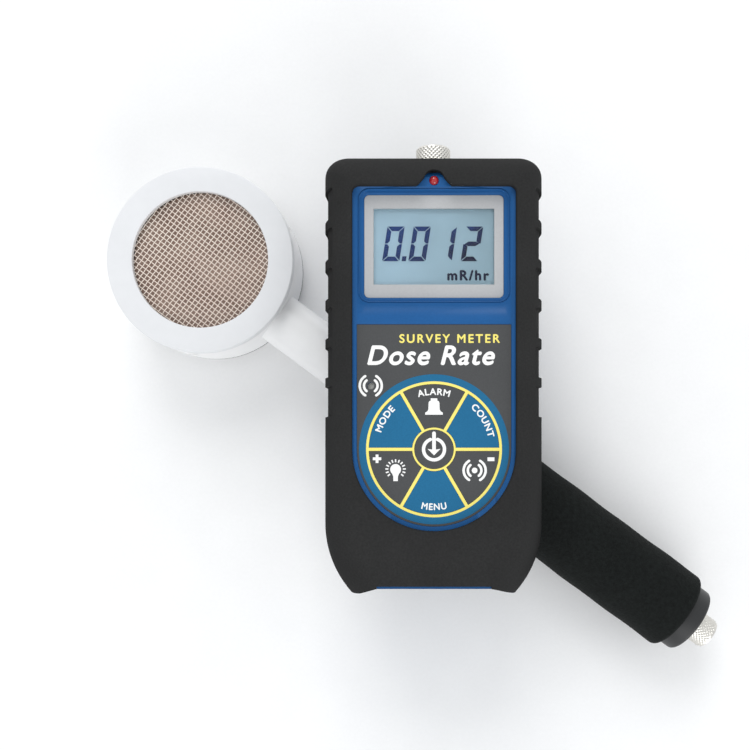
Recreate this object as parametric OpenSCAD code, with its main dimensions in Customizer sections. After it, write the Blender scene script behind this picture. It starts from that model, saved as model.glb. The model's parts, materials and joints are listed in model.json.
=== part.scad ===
// Survey geiger counter: a handheld meter in a rubber boot, lying across the handle of its
// pancake probe. +Z points up out of the display, +Y points to the meter's top end.
// Origin: centre of the whole object's outline, on the surface that the probe lies on.

/* [Meter] */
// Width of the rubber boot over its grip ribs
boot_w = 72; // [70:0.5:76]
// Length of the rubber boot
boot_l = 145; // [143:0.5:150]
// Thickness of the meter in its boot
boot_t = 38; // [37:0.5:42]
// Thickness of the boot's rubber at the sides and the back
boot_wall = 2.2; // [1.8:0.1:2.2]
// Radius of the boot's long front edges
edge_front = 10; // [9:0.5:11]
// Radius of the boot's back edges
edge_back = 6; // [5:0.5:7]
// Radius of the two top corners, seen from the front
corner_top = 8; // [7:0.5:9]
// Radius of the tapered lower sides, seen from the front
taper_r = 33.8; // [33:0.2:35]
// Height of the boot's lower tapered part
taper_h = 22.6; // [22:0.2:23]
// Wall of the moulded case
case_wall = 2.2; // [1.8:0.1:2.2]

/* [Grip ribs] */
// Number of ribs on each side
rib_count = 5; // [3:1:6]
// Distance from rib to rib
rib_pitch = 12.9; // [11:0.1:13]
// Width of one rib
rib_w = 3.05; // [2:0.05:4]
// Depth of the pockets between the ribs
rib_depth = 0.9; // [0.6:0.1:1.2]
// Middle rib's place above the meter's centre
rib_mid_y = 22.65; // [20:0.05:24]

/* [Face] */
// Width of the opening in the boot's front
opening_w = 51.2; // [50:0.2:52]
// Top of the opening above the meter's centre
opening_top = 57.6; // [56:0.2:58]
// Centre of the keypad below the meter's centre
keypad_drop = 25.2; // [24:0.2:26]
// Radius of the keypad's border
keypad_r = 24.1; // [23.6:0.1:24.3]
// Width of the display's pocket at the face
pocket_w = 47.2; // [46:0.2:48]
// Height of the display's pocket at the face
pocket_h = 35.8; // [34:0.2:37]
// Centre of the display above the meter's centre
display_y = 39.6; // [39:0.1:40]
// Width of the display's window
window_w = 38.6; // [36:0.2:40]
// Height of the display's window
window_h = 24.3; // [22:0.1:26]
// Travel of a key
key_travel = 0.35; // [0.2:0.05:0.35]

/* [Probe] */
// Diameter of the probe's round head
head_d = 66.5; // [64:0.5:68]
// Depth of the probe's round head
head_t = 30; // [29:0.5:31]
// Diameter of the opening in front of the detector
window_d = 48.5; // [46:0.5:50]
// Pitch of the protective wire mesh, 16 wires to the inch
mesh_pitch = 1.5875; // [1.5875, 3.175]
// Wire diameter of the mesh
mesh_wire = 0.42; // [0.3:0.02:0.5]
// Diameter of the handle's tube
neck_d = 19; // [18:0.5:19.5]
// Diameter of the foam grip
grip_d = 30.4; // [28:0.2:31]
// Start of the foam grip, from the head's centre
grip_start = 76; // [70:1:90]
// End of the foam grip, from the head's centre
grip_end = 216; // [200:1:230]

/* [Arrangement] */
// Angle of the handle below the meter's cross axis
handle_angle = 36.4; // [34:0.2:39]
// The meter's centre to the right of the head's centre
meter_dx = 82.9; // [80:0.1:86]
// The meter's centre below the head's centre
meter_dy = 41.9; // [38:0.1:44]
// Gap between the foam grip and the meter's back
rest_gap = 0.3; // [0.3:0.1:1]

/* [Hidden] */
$fn = 64;
fine = 0.02;

// Boot and case: insets from the boot's outline, and heights above the boot's back.
boot_top = boot_l / 2;
foot_drop = 0.1;
boot_foot = boot_l / 2 + foot_drop;
taper_y = taper_h - boot_foot;
slot_w = 36.4;
strip_y = -70.5;
case_inset = boot_wall + 0.1;
case_z0 = boot_wall + 0.1;
case_z1 = 35.2;
seam_z = 17;
seam_gap = 0.2;
pad_w = slot_w - 0.4;
pad_y = -71.5;
inner_inset = case_inset + case_wall;
plate_z = case_z1 - case_wall;

// Display stack, from the window down.
frame_top = 33.3;
frame_w = 44.4;
frame_h = 32.7;
flange_w = 48.4;
flange_h = 36.4;
flange_z0 = 31.9;
flange_z1 = plate_z - 0.05;
lens_z0 = 32.2;
lens_t = 0.7;
lcd_w = 43;
lcd_h = 30;
lcd_z1 = 31.85;
lcd_z0 = 29.9;
light_z0 = 27.6;
zebra_w = 1.8;

// Keypad.
recess_z = 34.7;
overlay_z1 = 35.1;
overlay_w = 49;
overlay_top = 14.45;
key_z0 = 34.0;
well_z = 32.9;
well_r = 21.9;
boss_r = 24.6;
boss_z0 = 31.7;
wedge_r0 = 6.9;
wedge_r1 = 20.75;
spoke_w = 0.9;
hub_r = 6.3;
key_gap = 0.12;
dome_sheet_t = 0.2;
dome_h = 0.35;
dome_ring_r = 13.8;
sound_x = -20.1;
sound_y = -5.0;
sound_r = 1.1;

// Lamp.
led_y = 60.2;
led_r = 1.5;

// Boards, posts and screws.
board_z = 22.6;
board_t = 1.6;
post_xy = [[28.3, 16], [-28.3, 16], [28.3, -40], [-28.3, -40]];
boss_xy = [[28, 64.2], [-28, 64.2], [23.5, -58.5], [-23.5, -58.5]];
post_r = 2.4;
screw_boss_r = 3.4;
screw_r = 1.5;
screw_hole_r = 1.55;
screw_head_r = 2.8;

// Batteries: two AA cells side by side.
cell_r = 7.15;
cell_len = 49.2;
nub_r = 2.7;
nub_len = 1.3;
cell_x = 7.4;
cell_y0 = -66.2;
cell_z = 12.2;
bay_x = 15.2;
bay_wall = 1.3;
bay_y1 = -13.4;
bay_z1 = 20.4;
door_w = 33.2;
door_y1 = -13.8;
door_t = case_wall;
tongue = 0.9;
tongue_z0 = 3.0;
tongue_z1 = 3.9;
door_gap = 0.15;

// Meter's socket.
socket_z = 18.75;
socket_y1 = boot_top + 4.9;
knurl_r = 5.75;
socket_bore_r = 4.05;
socket_bore = 6;
socket_body_r = 4.9;
socket_y0 = 62.6;
insulator_r = 3.4;
contact_r = 0.65;

// Probe head, heights above the surface it lies on.
head_r = head_d / 2;
cover_t = 2;
gasket_t = 0.8;
shell_z0 = cover_t + gasket_t;
ring_t = 4;
ring_z0 = head_t - ring_t;
shell_wall = 2;
shell_r = head_r - shell_wall;
spigot_wall = 1.6;
spigot_z0 = 18;
set_z = 21;
set_angles = [-97, 23, 143];
lip_z = head_t - 2;
grille_r = 25.6;
grille_gap = 0.02;
tube_r = 27;
tube_z0 = 13.8;
tube_z1 = ring_z0 + 0.5;
mica_r = 24.4;
boss_ring_r = 28.2;
head_boss_r = 3.6;
head_boss_h = 8;
head_boss_z0 = shell_z0 + 0.4;

// Handle.
neck_r = neck_d / 2;
neck_bore_r = neck_r - 1.9;
neck_start = shell_r;
handle_z = grip_d / 2;
grip_r = grip_d / 2;
cap_r = 12.5;
cap_end = grip_end + 6;
cap_plug = 10;
handle_socket_r = 5.75;
handle_socket_end = cap_end + 8.5;
lead_r = 1.4;
lead_route = [[10, -5.0], [31, -4.2], [42, 0], [grip_end - cap_plug - 2.1, 0]];

// Places in the whole object's frame.
function reach_x(s, r) = s * cos(handle_angle) + r * sin(handle_angle);
function reach_y(s, r) = s * sin(handle_angle) + r * cos(handle_angle);
far_x = max(reach_x(grip_end, grip_r), reach_x(cap_end, cap_r),
    reach_x(handle_socket_end, handle_socket_r));
far_y = max(reach_y(grip_end, grip_r), reach_y(cap_end, cap_r),
    reach_y(handle_socket_end, handle_socket_r));
head_x = (head_r - far_x) / 2;
head_y = (far_y - (socket_y1 - meter_dy)) / 2;
meter_z = grip_d + rest_gap;

module at_meter() {
    translate([head_x + meter_dx, head_y - meter_dy, meter_z]) children();
}

module at_head() {
    translate([head_x, head_y, 0]) children();
}

// Turns so that +X runs along the handle from the head's centre, at the handle's height.
module at_handle() {
    translate([head_x, head_y, handle_z]) rotate([0, 0, -handle_angle]) children();
}

// A round bar or a stepped turned piece along +X.
module along_x(start, end, r) {
    translate([start, 0, 0]) rotate([0, 90, 0]) cylinder(h = end - start, r = r);
}

// The same along +Y.
module along_y(start, end, r) {
    translate([0, start, 0]) rotate([-90, 0, 0]) cylinder(h = end - start, r = r);
}

module slab(z0, z1) {
    translate([0, 0, z0]) linear_extrude(height = z1 - z0) children();
}

module round_rect(w, h, r) {
    square([w - 2 * r, h], center = true);
    square([w, h - 2 * r], center = true);
    for (sx = [-1, 1], sy = [-1, 1])
        translate([sx * (w / 2 - r), sy * (h / 2 - r)]) circle(r);
}

// Section with one radius at its two low corners and one at its two high corners.
module two_radius_section(half_w, z0, z1, r_low, r_high) {
    translate([-half_w, z0 + r_low]) square([2 * half_w, z1 - z0 - r_low - r_high]);
    translate([-half_w + r_low, z0]) square([2 * (half_w - r_low), r_low + fine]);
    translate([-half_w + r_high, z1 - r_high - fine])
        square([2 * (half_w - r_high), r_high + fine]);
    for (s = [-1, 1]) {
        translate([s * (half_w - r_low), z0 + r_low]) circle(r_low);
        translate([s * (half_w - r_high), z1 - r_high]) circle(r_high);
    }
}

// The meter's outline from the front: straight sides, round top corners, arcs that draw in below.
module meter_outline(inset) {
    half_w = boot_w / 2 - inset;
    top = boot_top - inset;
    r = corner_top - inset;
    translate([-half_w, taper_y]) square([2 * half_w, top - r - taper_y]);
    translate([-half_w + r, top - 2 * r]) square([2 * (half_w - r), 2 * r]);
    for (s = [-1, 1]) translate([s * (half_w - r), top - r]) circle(r);
    intersection() {
        union() for (s = [-1, 1])
            translate([s * (boot_w / 2 - taper_r), taper_y]) circle(taper_r - inset);
        translate([-half_w, -boot_foot + inset])
            square([2 * half_w, taper_h - inset + fine]);
    }
}

// The meter's form at an inset: its outline, rounded along the sides and over the top end.
module meter_form(inset, z0, z1) {
    front = edge_front - inset;
    back = edge_back - inset;
    over = 40;
    intersection() {
        slab(z0, z1) meter_outline(inset);
        rotate([90, 0, 0]) linear_extrude(height = 2 * boot_l, center = true)
            two_radius_section(boot_w / 2 - inset, z0, z1, back, front);
        translate([0, -over, 0]) rotate([90, 0, 90])
            linear_extrude(height = 2 * boot_w, center = true)
                two_radius_section(boot_top + over - inset, z0, z1, back, front + 2);
    }
}

// Opening in the boot's front: square above, round below, with a tab for the lamp.
module face_opening() {
    half_w = opening_w / 2;
    r = 2.2;
    tab_r = 3.3;
    flare = 5.45;
    translate([-half_w, -keypad_drop])
        square([opening_w, opening_top - r + keypad_drop]);
    translate([-half_w + r, opening_top - 2 * r]) square([opening_w - 2 * r, 2 * r]);
    for (s = [-1, 1]) translate([s * (half_w - r), opening_top - r]) circle(r);
    translate([0, -keypad_drop]) circle(half_w);
    translate([0, led_y - 0.2]) circle(tab_r);
    polygon([
        [-flare, opening_top - fine], [flare, opening_top - fine],
        [tab_r, led_y - 0.2], [-tab_r, led_y - 0.2]
    ]);
}

module rib_pockets() {
    zone = (rib_count + 1) * rib_pitch - rib_w;
    low = rib_mid_y - zone / 2;
    difference() {
        for (s = [-1, 1], i = [0 : rib_count])
            translate([s * (boot_w / 2 - 1.2) - 1.25, low + i * rib_pitch, 4])
                cube([2.5, rib_pitch - rib_w, 30.4]);
        meter_form(rib_depth, 0, boot_t - rib_depth);
    }
}

module boot() {
    back_r = 6;
    foot_x = 25.7;
    foot_inner = 20.6;
    color("#2e2e2f") difference() {
        meter_form(0, 0, boot_t);
        meter_form(boot_wall, boot_wall, case_z1 + 0.1);
        slab(case_z1, boot_t + 1) face_opening();
        slab(-1, boot_wall + 1) translate([0, -3]) round_rect(48, 112, back_r);
        translate([-slot_w / 2, -boot_foot - 1, boot_wall])
            cube([slot_w, 6, case_z1 + 0.1 - boot_wall]);
        translate([-slot_w / 2, -boot_foot - 1, case_z1 - 1])
            cube([slot_w, boot_foot + 1 + strip_y, boot_t]);
        slab(-1, boot_t + 1) polygon([
            [-foot_x, -boot_foot - fine], [-foot_inner, pad_y], [foot_inner, pad_y],
            [foot_x, -boot_foot - fine]
        ]);
        rib_pockets();
        translate([0, 0, socket_z]) along_y(boot_top - 8, boot_top + 1, knurl_r + 0.3);
    }
}

// Outside of the closed case.
module case_form() {
    meter_form(case_inset, case_z0, case_z1);
    translate([-pad_w / 2, pad_y, case_z0]) cube([pad_w, 4, case_z1 - case_z0]);
}

// The socket's hole and its seat in the case's top wall.
module socket_hole() {
    translate([0, 0, socket_z]) along_y(socket_y0 - 1, boot_top + 1, socket_body_r + 0.05);
}

module front_case() {
    color("#3165a3") difference() {
        intersection() {
            case_form();
            slab(seam_z + seam_gap, case_z1 + 1) square(2 * boot_l, center = true);
        }
        difference() {
            meter_form(inner_inset, case_z0 + case_wall, plate_z);
            translate([0, -keypad_drop, boss_z0]) cylinder(h = 5, r = boss_r);
            for (p = post_xy) translate([p[0], p[1], board_z + board_t])
                cylinder(h = 15, r = post_r);
            for (p = boss_xy) translate([p[0], p[1], seam_z + seam_gap])
                cylinder(h = 20, r = screw_boss_r);
        }
        hull() {
            slab(case_z1, case_z1 + 1) translate([0, display_y])
                round_rect(pocket_w, pocket_h, 3.2, $fn = 32);
            slab(frame_top + 0.1, frame_top + 0.2) translate([0, display_y])
                round_rect(frame_w + 0.2, frame_h + 0.2, 1.6, $fn = 32);
        }
        slab(plate_z - 1, frame_top + 0.2) translate([0, display_y])
            round_rect(frame_w + 0.2, frame_h + 0.2, 1.6);
        slab(recess_z, case_z1 + 1) overlay_outline(0.1);
        translate([0, -keypad_drop, well_z]) cylinder(h = 5, r = well_r);
        translate([sound_x, sound_y, plate_z - 1]) cylinder(h = 5, r = sound_r);
        translate([0, led_y, plate_z - 1]) cylinder(h = 5, r = led_r + 0.05);
        for (p = post_xy) translate([p[0], p[1], board_z]) cylinder(h = 8, r = 1.25);
        for (p = boss_xy) translate([p[0], p[1], seam_z]) cylinder(h = 10, r = screw_hole_r);
        socket_hole();
    }
}

module rear_case() {
    color("#2f62a0") difference() {
        union() {
            difference() {
                intersection() {
                    case_form();
                    slab(case_z0 - 1, seam_z - seam_gap) square(2 * boot_l, center = true);
                }
                difference() {
                    meter_form(inner_inset, case_z0 + case_wall, plate_z);
                    for (p = boss_xy) translate([p[0], p[1], case_z0])
                        cylinder(h = seam_z - seam_gap - case_z0, r = screw_boss_r);
                }
            }
            for (s = [-1, 1])
                translate([s * (bay_x + 1.75 + bay_wall / 2) - bay_wall / 2,
                    cell_y0 - 1.8, case_z0 + case_wall - fine])
                    cube([bay_wall, bay_y1 - cell_y0 + 3.1, bay_z1 - case_z0 - case_wall]);
            translate([-bay_x - 1.75 - bay_wall, bay_y1, case_z0 + case_wall - fine])
                cube([2 * (bay_x + 1.75 + bay_wall), bay_wall,
                    bay_z1 - case_z0 - case_wall]);
        }
        translate([-door_w / 2 - door_gap, pad_y - 1, case_z0 - 1])
            cube([door_w + 2 * door_gap, door_y1 + door_gap - pad_y + 1, case_wall + 1.1]);
        translate([-door_w / 2 - tongue - door_gap, pad_y - 1, tongue_z0 - door_gap])
            cube([door_w + 2 * (tongue + door_gap), door_y1 + door_gap - pad_y + 1,
                tongue_z1 - tongue_z0 + 2 * door_gap]);
        for (p = boss_xy) {
            translate([p[0], p[1], case_z0 - 1]) cylinder(h = 30, r = screw_hole_r);
            translate([p[0], p[1], case_z0 - 1]) cylinder(h = 4.8, r = screw_head_r + 0.3);
        }
        socket_hole();
    }
}

module case_gasket() {
    color("#1b1b1c") slab(seam_z - seam_gap, seam_z + seam_gap) difference() {
        meter_outline(case_inset + 0.3);
        meter_outline(case_inset + case_wall - 0.3);
        translate([0, boot_top]) square([2 * socket_body_r + 1, 20], center = true);
    }
}

module display_frame() {
    color("#b4b4b2") difference() {
        union() {
            slab(flange_z0, flange_z1) translate([0, display_y])
                round_rect(flange_w, flange_h, 2);
            slab(flange_z0, frame_top) translate([0, display_y])
                round_rect(frame_w, frame_h, 1.5);
        }
        slab(flange_z0 - 1, frame_top + 1) translate([0, display_y])
            square([window_w, window_h], center = true);
    }
}

module display_lens() {
    color("#dfe8ea") slab(lens_z0, lens_z0 + lens_t) translate([0, display_y])
        square([window_w - 0.1, window_h - 0.1], center = true);
}

module lcd_panel() {
    color("#a6c3cf") slab(lcd_z0, lcd_z1) translate([0, display_y])
        square([lcd_w, lcd_h], center = true);
}

module backlight() {
    color("#eef3f2") slab(light_z0, lcd_z0 - 0.05) translate([0, display_y])
        square([lcd_w, lcd_h - 2 * zebra_w - 0.6], center = true);
}

module zebra_strips() {
    color("#e08a9a") for (s = [-1, 1])
        slab(board_z + board_t, lcd_z0) translate([0, display_y + s * (lcd_h - zebra_w) / 2])
            square([lcd_w - 2, zebra_w], center = true);
}

module main_board() {
    color("#1f6b3a") difference() {
        slab(board_z, board_z + board_t) translate([0, 6.3])
            square([61, 108.9], center = true);
        for (p = post_xy) translate([p[0], p[1], board_z - 1]) cylinder(h = 4, r = 1.3);
    }
}

module hv_module() {
    color("#202226") translate([-12, 22, board_z - 10]) cube([24, 18, 10]);
}

// Processor, display driver, memory, crystal and two electrolytic capacitors.
module board_chips() {
    color("#2a2a2e") {
        translate([-7, -4, board_z + board_t]) cube([14, 14, 1.4]);
        translate([14, -6, board_z + board_t]) cube([10, 6, 1.5]);
        translate([-26, -16, board_z + board_t]) cube([8, 5, 1.5]);
        translate([-20, 46, board_z - 3.5]) cube([11, 4.6, 3.5]);
        translate([16, 12, board_z - 9]) cylinder(h = 9, r = 4);
        translate([-17, 12, board_z - 9]) cylinder(h = 9, r = 4);
    }
}

module overlay_outline(grow) {
    half_w = overlay_w / 2 + grow;
    translate([-half_w, -keypad_drop])
        square([2 * half_w, overlay_top + keypad_drop + grow]);
    translate([0, -keypad_drop]) circle(keypad_r + 0.4 + grow);
}

// One sixth of the keypad's ring, centred on an angle, clear of the spokes by half_gap.
module wedge(angle, r0, r1, half_gap) {
    apex = half_gap / sin(30);
    far = 30;
    translate([0, -keypad_drop]) intersection() {
        difference() {
            circle(r1);
            circle(r0);
        }
        rotate(angle) polygon([
            [apex, 0], [apex + far, far * tan(30)], [apex + far, -far * tan(30)]
        ]);
    }
}

module keypad_overlay() {
    color("#5a5a5c") difference() {
        slab(recess_z, overlay_z1) overlay_outline(0);
        for (i = [0 : 5]) slab(recess_z - 1, overlay_z1 + 1)
            wedge(30 + 60 * i, wedge_r0, wedge_r1, spoke_w / 2);
        translate([0, -keypad_drop, recess_z - 1]) cylinder(h = 3, r = hub_r);
        translate([sound_x, sound_y, recess_z - 1]) cylinder(h = 3, r = sound_r);
    }
}

module wedge_key(angle) {
    slab(key_z0, overlay_z1)
        wedge(angle, wedge_r0 + key_gap, wedge_r1 - key_gap, spoke_w / 2 + key_gap);
}

module key_power() {
    color("#5a5a5c") translate([0, -keypad_drop, key_z0])
        cylinder(h = overlay_z1 - key_z0, r = hub_r - key_gap);
}

module key_alarm() {
    color("#5a5a5c") wedge_key(90);
}

module key_count() {
    color("#33719d") wedge_key(30);
}

module key_audio() {
    color("#5a5a5c") wedge_key(-30);
}

module key_menu() {
    color("#33719d") wedge_key(-90);
}

module key_light() {
    color("#5a5a5c") wedge_key(-150);
}

module key_mode() {
    color("#33719d") wedge_key(150);
}

// Thin sheet with a snap dome under every key.
module key_domes() {
    color("#c9c9c4") translate([0, -keypad_drop, well_z]) {
        cylinder(h = dome_sheet_t, r = well_r - 0.2);
        translate([0, 0, dome_sheet_t - fine]) cylinder(h = dome_h, r1 = 4, r2 = 2.4);
        for (i = [0 : 5]) rotate(30 + 60 * i) translate([dome_ring_r, 0, dome_sheet_t - fine])
            cylinder(h = dome_h, r1 = 4, r2 = 2.4);
    }
}

module led_lamp() {
    color("#c41f2b") translate([0, led_y, 0]) {
        translate([0, 0, board_z + board_t + 4]) cylinder(h = 6.6, r = led_r);
        translate([0, 0, board_z + board_t + 3]) cylinder(h = 1, r = 1.9);
        translate([0, 0, board_z + board_t + 10.6]) sphere(led_r);
        for (s = [-1, 1]) translate([s * 1.27, 0, board_z + board_t])
            cylinder(h = 3.1, r = 0.25);
    }
}

module sounder() {
    color("#8d8f92") translate([sound_x, sound_y, 27]) difference() {
        cylinder(h = 4.6, r = 7.5);
        translate([0, 0, 3.8]) cylinder(h = 2, r = 1);
    }
}

module meter_socket_shell() {
    color("#dcd8cf") translate([0, 0, socket_z]) difference() {
        union() {
            along_y(boot_top + 0.1, socket_y1, knurl_r);
            along_y(socket_y0, boot_top + 0.2, socket_body_r);
        }
        along_y(socket_y1 - socket_bore, socket_y1 + 1, socket_bore_r);
        along_y(socket_y0 - 1, socket_y1 - socket_bore + fine, insulator_r);
    }
}

module meter_socket_insulator() {
    color("#f2f0ea") translate([0, 0, socket_z]) difference() {
        along_y(socket_y0, socket_y1 - socket_bore, insulator_r);
        along_y(socket_y0 - 1, socket_y1, contact_r);
    }
}

module meter_socket_contact() {
    color("#d8b24a") translate([0, 0, socket_z]) difference() {
        along_y(socket_y0 - 2, socket_y1 - socket_bore, contact_r);
        along_y(socket_y1 - socket_bore - 5, socket_y1, 0.35);
    }
}

module meter_socket_nut() {
    color("#cfcfca") translate([0, 0, socket_z]) difference() {
        translate([0, boot_top - inner_inset - 2.6, 0]) rotate([-90, 0, 0])
            cylinder(h = 2.5, r = 7.2, $fn = 6);
        along_y(socket_y0 - 2, boot_top, socket_body_r + 0.02);
    }
}

module batteries() {
    color("#c8923a") for (s = [-1, 1]) translate([s * cell_x, 0, cell_z]) {
        along_y(cell_y0 + (s > 0 ? 0 : nub_len), cell_y0 + cell_len + (s > 0 ? 0 : nub_len),
            cell_r);
        along_y(s > 0 ? cell_y0 + cell_len : cell_y0,
            s > 0 ? cell_y0 + cell_len + nub_len : cell_y0 + nub_len, nub_r);
    }
}

// Flat contacts at the nubs and coil springs at the flat ends.
module battery_contacts() {
    color("#d5d5d0") for (s = [-1, 1]) {
        translate([s * cell_x - 5.5, cell_y0 - 1.6, cell_z - 5.5]) cube([11, 0.4, 11]);
        translate([s * cell_x - 5.5, cell_y0 + cell_len + nub_len + 1.2, cell_z - 5.5])
            cube([11, 0.4, 11]);
        translate([s * cell_x, s > 0 ? cell_y0 - 1.2 : cell_y0 + cell_len + nub_len,
            cell_z]) rotate([-90, 0, 0])
            translate([0, 0, 0.3]) rotate_extrude() translate([3.2, 0.3]) circle(0.3);
    }
}

module battery_door() {
    color("#2c5d9a") {
        translate([-door_w / 2, pad_y, case_z0])
            cube([door_w, door_y1 - pad_y, door_t]);
        translate([-door_w / 2 - tongue, pad_y, tongue_z0])
            cube([door_w + 2 * tongue, door_y1 - pad_y, tongue_z1 - tongue_z0]);
    }
}

module case_screws() {
    color("#9a9a98") for (p = boss_xy) translate([p[0], p[1], case_z0 + 1.8]) {
        cylinder(h = 2, r = screw_head_r);
        cylinder(h = 18, r = screw_r);
    }
}

module board_screws() {
    color("#b8b8b4") for (p = post_xy) translate([p[0], p[1], board_z - 1.6]) {
        cylinder(h = 1.6, r = 2.1);
        cylinder(h = 8, r = 1.2);
    }
}

module head_housing() {
    color("#e2e3e0") at_head() difference() {
        union() {
            difference() {
                slab(shell_z0, ring_z0) circle(head_r);
                slab(shell_z0 - 1, ring_z0 + 1) circle(shell_r);
            }
            for (i = [0 : 3]) rotate(45 + 90 * i - handle_angle)
                translate([boss_ring_r, 0, head_boss_z0]) cylinder(h = head_boss_h, r = head_boss_r);
        }
        for (i = [0 : 3]) rotate(45 + 90 * i - handle_angle)
            translate([boss_ring_r, 0, head_boss_z0 - 1]) cylinder(h = head_boss_h, r = 1.05);
        for (a = set_angles) rotate(a) translate([0, 0, set_z])
            along_x(shell_r - 1, head_r + 1, screw_r + fine);
        translate([0, 0, handle_z]) rotate([0, 0, -handle_angle])
            along_x(shell_r - 8, head_r + 2, neck_r);
    }
}

module front_ring() {
    color("#eff1f3") at_head() difference() {
        union() {
            slab(ring_z0, head_t) circle(head_r);
            slab(spigot_z0, ring_z0 + fine) difference() {
                circle(shell_r - 0.05);
                circle(shell_r - 0.05 - spigot_wall);
            }
        }
        slab(ring_z0 - 1, head_t + 1) circle(window_d / 2);
        slab(ring_z0 - 1, lip_z) circle(grille_r + 0.2);
        slab(ring_z0 - 1, ring_z0 + 0.6) circle(tube_r + 0.1);
        for (a = set_angles) rotate(a) translate([0, 0, set_z])
            along_x(shell_r - 3, head_r + 1, screw_r + fine);
        translate([0, 0, handle_z]) rotate([0, 0, -handle_angle])
            along_x(shell_r - 8, head_r, neck_r + 0.1);
    }
}

// One layer of the protective mesh: a rim and parallel wires, cut to the round.
module mesh_layer(angle) {
    wires = floor((grille_r - 1) / mesh_pitch);
    difference() {
        circle(grille_r);
        circle(grille_r - 0.8);
    }
    rotate(angle) for (i = [-wires : wires]) {
        half = sqrt(pow(grille_r - 0.4, 2) - pow(i * mesh_pitch, 2));
        translate([-half, i * mesh_pitch - mesh_wire / 2]) square([2 * half, mesh_wire]);
    }
}

module grille() {
    low = lip_z - 2 * mesh_wire - grille_gap - 0.05;
    color("#e6cfc6") at_head() {
        slab(low, low + mesh_wire) mesh_layer(-handle_angle);
        slab(low + mesh_wire + grille_gap, lip_z - 0.05) mesh_layer(90 - handle_angle);
    }
}

module tube_cushion() {
    color("#3a3a3c") at_head() slab(tube_z0 + 0.6, spigot_z0 + 6) difference() {
        circle(shell_r - 0.1 - spigot_wall);
        circle(tube_r + 0.05);
        rotate(-handle_angle) translate([shell_r, 0]) square([12, 2 * neck_r], center = true);
    }
}

module gm_tube() {
    color("#a8a7a3") at_head() difference() {
        slab(tube_z0, tube_z1) circle(tube_r);
        slab(tube_z0 + 1, tube_z1 - 1) circle(tube_r - 1);
        slab(tube_z1 - 2, tube_z1 + 1) circle(mica_r - 0.8);
        slab(tube_z1 - 0.3, tube_z1 + 1) circle(mica_r + 0.1);
        slab(tube_z0 - 1, tube_z0 + 2) circle(2.6);
    }
}

module mica_window() {
    color("#7d6a60") at_head() slab(tube_z1 - 0.3, tube_z1 - 0.1) circle(mica_r);
}

// Glass-sealed anode pin in the tube's back, with its clip down to the board.
module anode_contact() {
    color("#c9b27a") at_head() {
        slab(tube_z0 - 0.6, tube_z0 + 1.4) circle(2.5);
        slab(8.6, tube_z0 + 5) circle(0.8);
    }
}

module tube_board() {
    color("#1f6b3a") at_head() {
        slab(7, 8.6) difference() {
            circle(15);
            circle(0.85);
        }
        translate([-9, 3, 8.6 - fine]) cube([7, 2.6, 2.4]);
        translate([-9, -6, 8.6 - fine]) cube([7, 2.6, 2.4]);
    }
}

module rear_cover() {
    color("#e6e7e5") at_head() difference() {
        slab(0, cover_t) circle(head_r - 0.25);
        for (i = [0 : 3]) rotate(45 + 90 * i - handle_angle) translate([boss_ring_r, 0, 0]) {
            translate([0, 0, -1]) cylinder(h = 5, r = 1.3);
            translate([0, 0, -fine]) cylinder(h = 1.2, r1 = 2.5, r2 = 1.3);
        }
    }
}

module cover_gasket() {
    color("#161617") at_head() slab(cover_t, shell_z0) difference() {
        circle(head_r);
        circle(shell_r + 0.3);
    }
}

module cover_screws() {
    color("#a9aaa8") at_head()
        for (i = [0 : 3]) rotate(45 + 90 * i - handle_angle)
            translate([boss_ring_r, 0, 0.15]) {
                cylinder(h = 1, r1 = 2.2, r2 = 1.1);
                translate([0, 0, 1 - fine]) cylinder(h = 6.5, r = 1);
            }
}

module set_screws() {
    color("#3c3d3e") at_head()
        for (a = set_angles) rotate(a) translate([0, 0, set_z]) difference() {
            along_x(shell_r - spigot_wall + 0.2, head_r - 0.3, screw_r);
            along_x(head_r - 1.6, head_r + 1, 0.75, $fn = 6);
        }
}

module neck_tube() {
    color("#ecedee") at_handle() difference() {
        along_x(neck_start, grip_end, neck_r);
        along_x(neck_start - 1, grip_end + 1, neck_bore_r);
    }
}

module grip_foam() {
    color("#1b1f1e") at_handle() difference() {
        along_x(grip_start, grip_end - 0.1, grip_r);
        along_x(grip_start - 1, grip_end + 1, neck_r);
    }
}

module end_cap() {
    color("#1d1e1f") at_handle() difference() {
        union() {
            along_x(grip_end, cap_end, cap_r);
            along_x(grip_end - cap_plug, grip_end + fine, neck_bore_r);
        }
        along_x(grip_end - cap_plug - 1, cap_end + 1, socket_body_r + 0.02);
    }
}

module handle_socket_shell() {
    color("#dcd8cf") at_handle() difference() {
        union() {
            along_x(cap_end, handle_socket_end, handle_socket_r);
            along_x(grip_end - cap_plug, cap_end + fine, socket_body_r);
        }
        along_x(handle_socket_end - socket_bore, handle_socket_end + 1, socket_bore_r);
        along_x(grip_end - cap_plug - 1, handle_socket_end - socket_bore + fine,
            insulator_r);
    }
}

module handle_socket_insulator() {
    color("#f2f0ea") at_handle() difference() {
        along_x(grip_end - cap_plug, handle_socket_end - socket_bore, insulator_r);
        along_x(grip_end - cap_plug - 1, handle_socket_end, contact_r);
    }
}

module handle_socket_contact() {
    color("#d8b24a") at_handle() difference() {
        along_x(grip_end - cap_plug - 2, handle_socket_end - socket_bore, contact_r);
        along_x(handle_socket_end - socket_bore - 5, handle_socket_end, 0.35);
    }
}

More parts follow.
